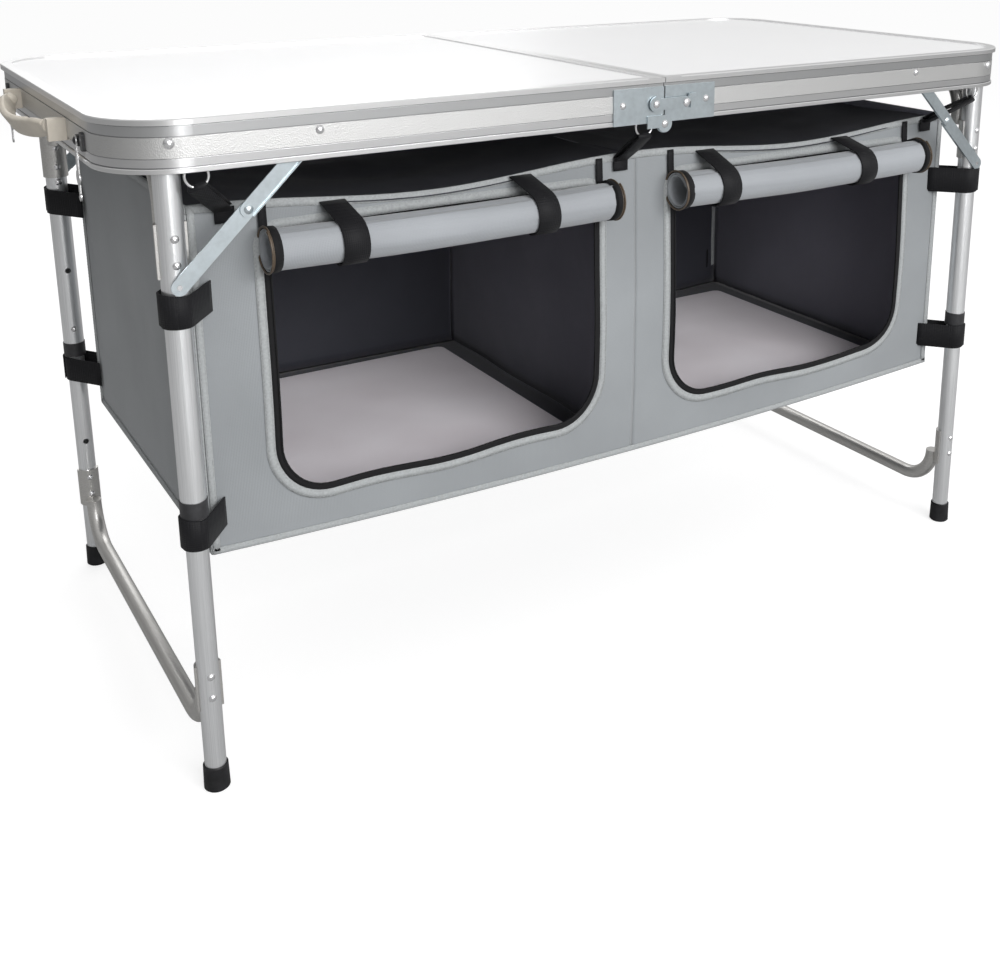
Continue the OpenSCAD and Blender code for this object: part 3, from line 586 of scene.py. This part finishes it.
def mouth_path(side, grow, steps=12):
    """Rounded outline of a door mouth, grown by grow: (x, z, outward x, outward z) all the way round."""
    x0, x1 = MOUTH_INNER, MOUTH_OUTER
    z0, z1 = MOUTH_BOTTOM, MOUTH_TOP
    r, t = MOUTH_R, MOUTH_TOP_R
    corners = [
        (x1 - r, z0 + r, r, -90),
        (x1 - t, z1 - t, t, 0),
        (x0 + t, z1 - t, t, 90),
        (x0 + r, z0 + r, r, 180),
    ]
    path = []
    for k, (cx, cz, bend, start) in enumerate(corners):
        for i in range(steps + 1):
            a = math.radians(start + 90 * i / steps)
            path.append((cx + bend * math.cos(a), cz + bend * math.sin(a), math.cos(a), math.sin(a)))
        nx, nz, after, _ = corners[(k + 1) % 4]
        a = math.radians(start + 90)
        begin = Vector((cx + bend * math.cos(a), cz + bend * math.sin(a)))
        finish = Vector((nx + after * math.cos(a), nz + after * math.sin(a)))
        for i in range(1, 24):
            p = begin.lerp(finish, i / 24)
            path.append((p.x, p.y, math.cos(a), math.sin(a)))
    shaped = []
    for x, z, ox, oz in path:
        low = max(0.0, 1 - (z - z0) / 0.09)
        swing = 0.0018 * math.sin(x * 34 + (0.8 if side > 0 else 2.6)) * low
        droop = -0.003 * low * math.sin(math.pi * (x - x0) / (x1 - x0))
        shaped.append((side * (x + ox * grow), z + oz * grow + swing + droop, side * ox, oz))
    return shaped


def rectangle_path(side, steps=12):
    """Points round one half of the front wall, one for each point of mouth_path."""
    x0, x1 = 0.0, BAG_X
    r, t = MOUTH_R, MOUTH_TOP_R
    low, high = MOUTH_BOTTOM + r, MOUTH_TOP - t
    corners = [
        ((MOUTH_OUTER - r, "b"), (x1, "b"), (x1, low)),
        ((x1, high), (x1, "t"), (MOUTH_OUTER - t, "t")),
        ((MOUTH_INNER + t, "t"), (x0, "t"), (x0, high)),
        ((x0, low), (x0, "b"), (MOUTH_INNER + r, "b")),
    ]

    def place(x, z):
        level = {"b": bottom_z(x), "t": top_z(x)}.get(z, z)
        return Vector((x, level))

    path = []
    for k, (first, middle, last) in enumerate(corners):
        for i in range(steps + 1):
            t = 2 * i / steps
            ends = (first, middle) if t <= 1 else (middle, last)
            t = t if t <= 1 else t - 1
            x = ends[0][0] + (ends[1][0] - ends[0][0]) * t
            if ends[0][1] == ends[1][1]:
                path.append(place(x, ends[0][1]))
            else:
                path.append(place(*ends[0]).lerp(place(*ends[1]), t))
        start, finish = corners[k][2], corners[(k + 1) % 4][0]
        for i in range(1, 24):
            t = i / 24
            if start[1] == finish[1]:
                path.append(place(start[0] + (finish[0] - start[0]) * t, start[1]))
            else:
                path.append(place(*start).lerp(place(*finish), t))
    return [(side * p.x, p.y) for p in path]


def front_panel():
    """The front wall with its two mouths, in one piece."""
    parts = []
    for side in SIDES.values():
        inner = mouth_path(side, 0)
        outer = rectangle_path(side)
        rows = []
        for v in spread(0, 1, 13):
            row = []
            for (ix, iz, _, _), (ox, oz) in zip(inner, outer):
                x, z = ix + (ox - ix) * v, iz + (oz - iz) * v
                row.append(Vector((x, front_y(x, z), z)))
            rows.append(row if side < 0 else row[::-1])
        parts.append(skin(rows, closed_rows=True))
    return mesh_piece("organizer_front", *joined(parts), ["grey_cloth", "dark_cloth"], "grey_cloth")


def soft_bar(width_in, width_out, rise):
    """Section of a band between two offsets of a mouth, with a rounded back."""
    return [(width_in, 0.0), (width_in, rise * 0.7), ((width_in + width_out) / 2, rise),
            (width_out, rise * 0.7), (width_out, 0.0)]


def mouth_band(name, side, inner, outer, rise, material, slot):
    """Tape sewn round a mouth from one offset to another, standing rise proud of the wall."""
    rows = []
    for grow, proud in soft_bar(inner, outer, rise):
        rows.append([Vector((x, front_y(x, z) - proud, z)) for x, z, _, _ in mouth_path(side, grow)])
    if side > 0:
        rows = [row[::-1] for row in rows]
    verts, faces = skin(rows, closed_rows=True)
    piece = mesh_piece(name, verts, faces, [material], slot)
    return piece


def tube_along(points, radius, sides=8, closed=False):
    """A round cord along points."""
    rows = []
    count = len(points)
    for i, p in enumerate(points):
        before = points[(i - 1) % count] if closed or i else p
        after = points[(i + 1) % count] if closed or i < count - 1 else p
        ahead = (after - before).normalized()
        side = ahead.cross(Vector((0.13, 0.21, 0.97))).normalized()
        up = side.cross(ahead)
        angles = spread(0, 2 * math.pi, sides + 1)[:-1]
        rows.append([p + side * radius * math.cos(a) + up * radius * math.sin(a) for a in angles])
    return skin(rows, closed_rows=True, closed_stack=closed)


def stitch_parts(points, outward, pitch=0.004, length=0.0026, thick=0.0006):
    """Short raised stitches along points, lying on the side that outward faces."""
    parts = []
    travelled = 0.0
    for a, b in zip(points, points[1:]):
        step = (b - a).length
        if step < 1e-6:
            continue
        ahead = (b - a) / step
        while travelled < step:
            mid = a + ahead * travelled + outward * thick * 0.3
            side = ahead.cross(outward).normalized() * thick / 2
            tip = ahead * length / 2
            verts = [mid - tip, mid + side, mid + outward * thick / 2, mid - side, mid + tip]
            parts.append((verts, [(0, 1, 2), (0, 2, 3), (4, 2, 1), (4, 3, 2), (0, 3, 1), (4, 1, 3)]))
            travelled += pitch
        travelled -= step
    return parts


def make_front():
    front = thicken(front_panel(), CLOTH_T, lined=True)
    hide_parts("organizer_left_shell", "organizer_right_shell")
    ride_with_cloth(front)
    for name, side in SIDES.items():
        binding = mouth_band(f"{name}_mouth_binding", side, 0.004, 0.0135, 0.0016, "binding", "grey_cloth")
        tape = mouth_band(f"{name}_zip_tape", side, -0.0035, 0.0045, 0.0014, "zip_tape", "zip_tape")
        coil_line = [Vector((x, front_y(x, z) - 0.0014, z)) for x, z, _, _ in mouth_path(side, -0.0028)]
        coil = mesh_piece(f"{name}_zip_coil", *tube_along(coil_line, 0.0011, 6, True),
                          ["zip_tape"], "zip_tape")
        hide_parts(f"{name}_door_zip")
        parts = []
        for grow in (0.0055, 0.012):
            line = [Vector((x, front_y(x, z) - 0.0015, z)) for x, z, _, _ in mouth_path(side, grow)]
            parts += stitch_parts(line, Vector((0, -1, 0)))
        stitches = mesh_piece(f"{name}_mouth_stitches", *joined(parts), ["thread"], "grey_cloth")
        for piece in (binding, tape, coil, stitches):
            ride_with_cloth(piece)


def make_walls():
    """Back, ends, bottom and middle partition of the organizer."""
    xs = spread(-BAG_X, BAG_X, 105)
    levels = spread(0, 1, 25)

    def back_point(x, v):
        z = bottom_z(x) + (top_z(x) - bottom_z(x)) * v
        return (x, back_y(x, z), z)

    back = sheet_grid("organizer_back", xs[::-1], levels, back_point,
                      ["grey_cloth", "dark_cloth"], "grey_cloth")
    thicken(back, CLOTH_T, lined=True)
    ride_with_cloth(back)
    ys = spread(-BAG_Y, BAG_Y, 41)
    for name, side in SIDES.items():
        def end_point(y, v):
            z = bottom_z(BAG_X) + (top_z(BAG_X) - bottom_z(BAG_X)) * v
            return (end_x(side, y, z), y, z)

        order = ys if side > 0 else ys[::-1]
        # The end wall's inner face takes the paler lining cloth, which is painted light.
        end = sheet_grid(f"organizer_{name}_end", order, levels, end_point, ["grey_cloth", "side_lining"],
                         "grey_cloth")
        thicken(end, CLOTH_T, lined=True)
        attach(end, f"{name}_half")

    def bottom_point(x, v):
        y = -BAG_Y + 2 * BAG_Y * v
        return (x, y, bottom_z(x) + crease((x, y, 4), 6, 0.0012))

    bottom = sheet_grid("organizer_bottom", xs[::-1], spread(0, 1, 41), bottom_point,
                        ["grey_cloth", "dark_cloth"], "grey_cloth")
    thicken(bottom, CLOTH_T, lined=True)
    ride_with_cloth(bottom)

    def partition_point(y, v):
        z = bottom_z(0) + 0.003 + (top_z(0) - 0.012 - bottom_z(0)) * v
        bow = 0.006 * math.sin(math.pi * v) * math.cos(math.pi * y / (2 * BAG_Y))
        return (bow + crease((0, y, z), 9, 0.004), y, z)

    span = spread(-BAG_Y + 0.004, BAG_Y - 0.004, 41)
    # The partition takes the paler lining cloth, which is painted light.
    partition = sheet_grid("organizer_partition", span, levels, partition_point,
                           ["side_lining"], "dark_cloth")
    thicken(partition, CLOTH_T)
    ride_with_cloth(partition)


def top_sheet_z(x, y):
    """Dark top sheet: tied down at its edges, slack between, with folds that run from the hangers."""
    slack = math.cos(math.pi * y / (2 * BAG_Y)) ** 0.7
    along = math.sin(math.pi * abs(x) / BAG_X) ** 0.6 if 0 < abs(x) < BAG_X else 0
    folds = crease((x * 1.3, y * 2.4, 2), 6, 0.007) + crease((x * 3, y * 1.4, 5), 8, 0.003)
    return top_z(x) - 0.004 - (0.016 * slack + folds * slack) * (0.35 + 0.65 * along)


def make_top_sheet():
    def point(x, v):
        y = -BAG_Y + 0.002 + (2 * BAG_Y - 0.004) * v
        return (x, y, top_sheet_z(x, y))

    for name, side in SIDES.items():
        xs = spread(0.0, side * (BAG_X - 0.002), 61)
        order = xs if side > 0 else xs[::-1]
        # The top sheet takes the sheenless dark cloth, which is painted shade.
        sheet = sheet_grid(f"{name}_top_sheet", order, spread(0, 1, 49), point, ["top_cloth"], "dark_cloth")
        thicken(sheet, CLOTH_T)
        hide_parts(f"organizer_{name}_top")
        ride_with_cloth(sheet)


def edge_paths():
    """The organizer's sewn edges: name, points, width direction."""
    xs = spread(-BAG_X, BAG_X, 121)
    ys = spread(-BAG_Y, BAG_Y, 41)
    down, back = Vector((0, 0, 1)), Vector((0, 1, 0))
    top_front = [Vector((x, front_y(x, top_z(x)) - 0.0006, top_z(x) - 0.004)) for x in xs]
    top_back = [Vector((x, BAG_Y + 0.0006, top_z(x) - 0.004)) for x in xs]
    low_front = [Vector((x, -BAG_Y - 0.0006, bottom_z(x) + 0.003)) for x in xs]
    low_back = [Vector((x, BAG_Y + 0.0006, bottom_z(x) + 0.003)) for x in xs]
    yield "organizer_top_binding", top_front, down, 0.0092, None
    yield "organizer_back_top_binding", top_back, down, 0.0092, None
    yield "organizer_bottom_binding", low_front, down, 0.0076, None
    yield "organizer_back_bottom_binding", low_back, down, 0.0076, None
    for name, side in SIDES.items():
        body = f"{name}_half"
        x = side * (BAG_X + 0.0006)
        high, low = top_z(BAG_X) - 0.004, bottom_z(BAG_X) + 0.003
        yield f"{name}_end_top_binding", [Vector((x, y, high)) for y in ys], down, 0.0092, body
        yield f"{name}_end_bottom_binding", [Vector((x, y, low)) for y in ys], down, 0.0076, body
        zs = spread(low, high, 31)
        for end, y in (("front", -BAG_Y - 0.0006), ("back", BAG_Y + 0.0006)):
            line = [Vector((side * (BAG_X - 0.004), y, z)) for z in zs]
            yield f"{name}_{end}_corner_binding", line, Vector((1, 0, 0)), 0.0076, body
            line = [Vector((x, y * (1 - 0.004 / BAG_Y), z)) for z in zs]
            yield f"{name}_{end}_end_corner_binding", line, back, 0.0076, body


def make_bindings():
    for name, line, width_way, width, body in edge_paths():
        band = ribbon(line, [width_way] * len(line), width, 0.0026)
        piece = mesh_piece(name, *band, ["binding"], "grey_cloth")
        outward = Vector((line[0].x, 0, 0)) if width_way.y else Vector((0, line[0].y, 0))
        if width_way.z and abs(line[0].x - line[-1].x) < 1e-4:
            outward = Vector((line[0].x, 0, 0))
        outward = outward.normalized()
        parts = []
        for s in (-0.3, 0.3):
            shifted = [p + width_way * width * s + outward * 0.0013 for p in line]
            parts += stitch_parts(shifted, outward)
        thread = mesh_piece(f"{name}_stitches", *joined(parts), ["thread"], "grey_cloth")
        for one in (piece, thread):
            if body:
                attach(one, body)
            else:
                ride_with_cloth(one)


def make_floor_boards():
    """Covered stiffening boards: rounded slabs with a soft rolled edge."""
    for name, side in SIDES.items():
        x0, x1 = 0.041, BOARD_HIGH.x
        y0, y1 = -0.232, 0.196
        centre = Vector((side * (x0 + x1) / 2, (y0 + y1) / 2, BOARD_LOW.z + 0.0006))
        half_x, half_y = (x1 - x0) / 2, (y1 - y0) / 2

        def ring(inset, rise):
            points = []
            r = 0.012
            for k in range(4):
                sx, sy = ((1, -1), (1, 1), (-1, 1), (-1, -1))[k]
                corner = Vector((sx * (half_x - r), sy * (half_y - r), 0))
                for i in range(9):
                    a = math.radians(-90 + 90 * k + 90 * i / 8)
                    spot = corner + Vector((math.cos(a), math.sin(a), 0)) * (r - inset)
                    points.append(centre + spot + Vector((0, 0, rise)))
            return points

        rings = [ring(0.0015, 0), ring(0, 0.0016), ring(0.0006, 0.0034), ring(0.004, 0.0044)]
        verts, faces = skin(rings, closed_rows=True)
        count = len(rings[0])
        for base, rise, flip in ((0, 0, True), (3 * count, 0.0044, False)):
            middle = len(verts)
            verts.append(centre + Vector((0, 0, rise)))
            for i in range(count):
                tri = (base + i, base + (i + 1) % count, middle)
                faces.append(tri[::-1] if flip else tri)
        board = mesh_piece(f"{name}_board_cover", verts, faces, ["pale_board"], "pale_board", smooth=False)
        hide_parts(f"{name}_floor_board")
        ride_with_cloth(board)


# ---- Rolled doors ----


def roll_centre(x):
    """A rolled door hangs from its two straps, so it dips a little between and beyond them."""
    t = (abs(x) - ROLL_LOW.x) / (ROLL_HIGH.x - ROLL_LOW.x)
    dip = 0.003 * math.sin(math.pi * t)
    return ROLL_Y + 0.001, ROLL_Z - dip


def make_rolled_doors():
    turns = 2.1
    steps = 76
    inner_r = 0.0165
    for name, side in SIDES.items():
        xs = spread(ROLL_LOW.x, ROLL_HIGH.x, 61)
        rows = []
        for x in xs:
            cy, cz = roll_centre(x)
            row = []
            for i in range(steps + 1):
                share = i / steps
                r = inner_r + (ROLL_R - 0.0012 - inner_r) * share
                r += crease((x * 0.8, share * 4, side), 9, 0.0012) * share
                a = math.radians(120) - 2 * math.pi * turns * (share - 1)
                row.append(Vector((side * x, cy + r * math.cos(a), cz + r * math.sin(a))))
            rows.append(row if side > 0 else row[::-1])
        door = mesh_piece(f"{name}_door_roll", *skin(rows), ["door_cloth"], "grey_cloth")
        thicken(door, CLOTH_T)
        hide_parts(f"{name}_rolled_door")
        ride_with_cloth(door)
        for end, x0 in (("inner", ROLL_LOW.x), ("outer", ROLL_HIGH.x)):
            inward = 1 if end == "inner" else -1
            roll_end(f"{name}_{end}", side, x0, inward)


def roll_end(name, side, x0, inward):
    """Zip tape and coil wound round one end of a roll."""
    tape_rows, coil_points = [], []
    turns = 1.9
    steps = 120
    for i in range(steps + 1):
        share = i / steps
        a = math.radians(120) - 2 * math.pi * turns * (share - 1)
        x = x0 - inward * 0.0012 + inward * 0.0035 * (1 - share)
        cy, cz = roll_centre(x)
        r = ROLL_R - 0.0014 + 0.0022 * share
        way = Vector((0, math.cos(a), math.sin(a)))
        centre = Vector((side * x, cy, cz))
        tape_rows.append([
            centre + way * r,
            centre + way * (r + 0.0008) + Vector((side * inward * 0.004, 0, 0)),
            centre + way * (r + 0.0005) + Vector((side * inward * 0.009, 0, 0)),
            centre + way * (r - 0.0009) + Vector((side * inward * 0.009, 0, 0)),
            centre + way * (r - 0.0012),
        ])
        coil_points.append(centre + way * (r + 0.0006) - Vector((side * inward * 0.0004, 0, 0)))
    tape = mesh_piece(f"{name}_roll_tape", *skin(tape_rows, closed_rows=True), ["zip_tape"], "zip_tape")
    coil = mesh_piece(f"{name}_roll_coil", *tube_along(coil_points, 0.0011, 8), ["zip_coil"], "zip_tape")
    for piece in (tape, coil):
        ride_with_cloth(piece)


def door_strap(name, x, lean):
    """Webbing from the top edge, over the roll, under it and back to the wall."""
    cy, cz = roll_centre(x)
    r = ROLL_R + 0.0016
    path = []
    top = Vector((x + lean, front_y(x, top_z(x)) - 0.003, top_z(x) - 0.003))
    over = math.radians(118)
    touch = Vector((x + lean * 0.35, cy - 0.002 + r * math.cos(over), cz + r * math.sin(over)))
    for t in spread(0, 1, 6)[:-1]:
        path.append(top.lerp(touch, t))
    for i in range(21):
        a = over + math.radians(215) * i / 20
        shift = lean * 0.35 * (1 - i / 20)
        path.append(Vector((x + shift, cy + r * math.cos(a), cz + r * math.sin(a))))
    across = [Vector((1, 0, 0))] * len(path)
    piece = mesh_piece(name, *ribbon(path, across, 0.028, 0.0018), ["webbing"], "webbing")
    ride_with_cloth(piece)


def make_door_straps():
    places = {"left": (("outer", -0.365, -0.008), ("inner", -0.140, -0.014)),
              "right": (("inner", 0.114, -0.010), ("outer", 0.342, -0.014))}
    for name, straps in places.items():
        for which, x, lean in straps:
            door_strap(f"{name}_{which}_door_strap", x, lean)
    for name, side in SIDES.items():
        for which, x in (("inner", MOUTH_INNER - 0.004), ("outer", MOUTH_OUTER + 0.002)):
            x *= side
            z = top_z(x)
            path = [Vector((x, front_y(x, z - d) - 0.003, z - d)) for d in spread(0.002, 0.034, 6)]
            tab = mesh_piece(f"{name}_{which}_zip_garage",
                             *ribbon(path, [Vector((1, 0, 0))] * 6, 0.009, 0.0016), ["webbing"], "webbing")
            ride_with_cloth(tab)


# ---- Webbing ----


def leg_loop(name, half, sx, sy, radius, z, flap):
    """Strap round a leg: both ends run to the organizer's corner, and one overlaps the other."""
    leg = Vector((sx * LEG_X, sy * LEG_Y, 0))
    corner = Vector((sx * BAG_X, sy * BAG_Y, 0))
    way = (corner - leg).normalized()
    side = Vector((-way.y, way.x, 0))
    parts = []
    for layer, (gap, trim) in enumerate(((0.0016, 1.0), (0.0036, flap))):
        r = radius + gap
        path = []
        reach = (corner - leg).length + 0.012
        for t in spread(reach, 0, 7)[:-1]:
            path.append(leg + way * t + side * r)
        for i in range(25):
            a = math.pi * i / 24
            path.append(leg + side * r * math.cos(a) - way * r * math.sin(a))
        for t in spread(0, reach, 7)[1:]:
            path.append(leg + way * t - side * r)
        path = path[: max(8, int(len(path) * trim))]
        lift = [z + 0.0025 * (layer - 0.4) + 0.002 * math.sin(3 * i / len(path)) for i in range(len(path))]
        path = [Vector((p.x, p.y, h)) for p, h in zip(path, lift)]
        parts.append(ribbon(path, [Vector((0, 0, 1))] * len(path), STRAP_W, 0.0018))
    piece = mesh_piece(name, *joined(parts), ["webbing"], "webbing")
    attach(piece, half)
    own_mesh(piece)
    return piece


def hanger(name, x, patch_x, y_way):
    """Strap from a patch on the organizer's top edge, doubled round its hook ring."""
    ring = Vector((x, y_way * RING_Y, RING_BOTTOM))
    edge = Vector((patch_x, y_way * (BAG_Y + 0.0015), top_z(patch_x) - 0.006))
    way = (edge - ring).normalized()
    along_x = Vector((1, 0, 0))
    wide = (along_x - way * way.x).normalized()
    up = wide.cross(way).normalized()
    if up.z < 0:
        up = -up
    r = 0.0024
    path = [edge + up * r, ring.lerp(edge, 0.5) + up * (r + 0.001), ring + up * r]
    path += [ring + up * r * math.cos(a) - way * r * math.sin(a) for a in spread(0, math.pi, 9)[1:]]
    path += [ring.lerp(edge, 0.5) - up * (r + 0.001), edge - up * r]
    strap = ribbon(path, [wide] * len(path), 0.018, 0.0017)
    drop = [edge + Vector((0, y_way * 0.0012, d)) for d in spread(0.002, -0.014, 5)]
    patch = ribbon(drop, [along_x] * len(drop), 0.020, 0.0018)
    return mesh_piece(name, *joined([strap, patch]), ["webbing"], "webbing")


def make_webbing():
    for name, side in SIDES.items():
        half = f"{name}_half"
        for end, y_way in (("front", -1), ("back", 1)):
            leg_loop(f"{name}_{end}_upper_loop", half, side, y_way,
                                  UPPER_R, LOOP_Z["upper"], 0.62)
            leg_loop(f"{name}_{end}_lower_loop", half, side, y_way,
                                  LOWER_R, LOOP_Z["lower"], 0.7)
            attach(hanger(f"{name}_{end}_hanger", side * HOOK_X, side * PATCH_X, y_way), half)
        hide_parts(f"{name}_webbing")
    for end, y_way in (("front", -1), ("back", 1)):
        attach(hanger(f"centre_{end}_hanger", CENTRE_HOOK_X, CENTRE_HOOK_X, y_way), "left_half")


# ---- Hardware details ----


def rounded_section(half_w, half_t, r):
    """Corners of a rounded bar's section, as (across, through) pairs."""
    ring = []
    for k, (sw, st) in enumerate(((1, 1), (-1, 1), (-1, -1), (1, -1))):
        for i in range(5):
            a = math.radians(90 * k + 22.5 * i)
            ring.append((sw * (half_w - r) + r * math.cos(a), st * (half_t - r) + r * math.sin(a)))
    return ring


def handle_axes(side, y):
    """Centre, width direction and outward direction of a carry handle's grip at y."""
    radius = (HANDLE_CHORD**2 + HANDLE_BULGE**2) / (2 * HANDLE_BULGE)
    tilt = math.asin(y / radius)
    reach = radius * math.cos(tilt) - (radius - HANDLE_BULGE - 0.002)
    out = Vector((side * math.cos(HANDLE_DROOP), 0, -math.sin(HANDLE_DROOP)))
    wide = Vector((side * math.sin(HANDLE_DROOP), 0, math.cos(HANDLE_DROOP)))
    pivot = Vector((side * HANDLE_PIVOT[0], 0, HANDLE_PIVOT[1]))
    normal = out * math.cos(tilt) + Vector((0, math.sin(tilt), 0))
    return pivot + out * reach + Vector((0, y, 0)), wide, normal


def make_handles():
    """Carry handles: an arched grip with finger ribs on its inner face, and a knuckle at each end."""
    for name, side in SIDES.items():
        rows = []
        for y in spread(-HANDLE_CHORD, HANDLE_CHORD, 217):
            centre, wide, normal = handle_axes(side, y)
            end = min(1, (HANDLE_CHORD - abs(y)) / 0.022)
            half_w = 0.0072 + 0.0038 * math.sin(end * math.pi / 2)
            rib = 0.0007 * math.cos(2 * math.pi * y / 0.0072) if abs(y) < 0.078 else 0
            row = []
            for w, t in rounded_section(half_w, 0.0034, 0.0022):
                inner = t < 0
                across = w + (rib if w > 0 and inner else 0)
                through = t - (rib if inner else 0)
                row.append(centre + wide * across + normal * through)
            rows.append(row if side > 0 else row[::-1])
        verts, faces = skin(rows, closed_rows=True)
        count = len(rows[0])
        faces.append(tuple(range(count - 1, -1, -1)))
        faces.append(tuple(len(verts) - count + k for k in range(count)))
        parts = [(verts, faces)]
        for y in (-HANDLE_CHORD, HANDLE_CHORD):
            pivot = Vector((side * HANDLE_PIVOT[0], y, HANDLE_PIVOT[1]))
            stack = []
            for d, r in ((-0.0075, 0.0055), (-0.0065, 0.0065), (0.0065, 0.0065), (0.0075, 0.0055)):
                angles = spread(0, 2 * math.pi, 33)[:-1]
                stack.append([pivot + Vector((r * math.cos(a), d, r * math.sin(a))) for a in angles])
            knuckle, sides = skin(stack, closed_rows=True)
            sides.append(tuple(range(31, -1, -1)))
            sides.append(tuple(96 + k for k in range(32)))
            parts.append((knuckle, sides))
        grip = mesh_piece(f"{name}_grip_moulding", *joined(parts), ["ivory_plastic"], "ivory_plastic")
        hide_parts(f"{name}_handle")
        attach(grip, f"{name}_grip")


def dress_nodes():
    """Every CAD node takes its record slot's material."""
    slots = {part["node"]: part["material_slot"] for part in frame["record"]["subparts"]}
    for name, node in NODES.items():
        node.data.materials.clear()
        node.data.materials.append(MATERIALS[slots[name]])


MATERIALS = make_materials()
make_camera()
make_studio()
dress_nodes()
make_front()
make_walls()
make_top_sheet()
make_bindings()
make_floor_boards()
make_rolled_doors()
make_door_straps()
make_webbing()
make_handles()
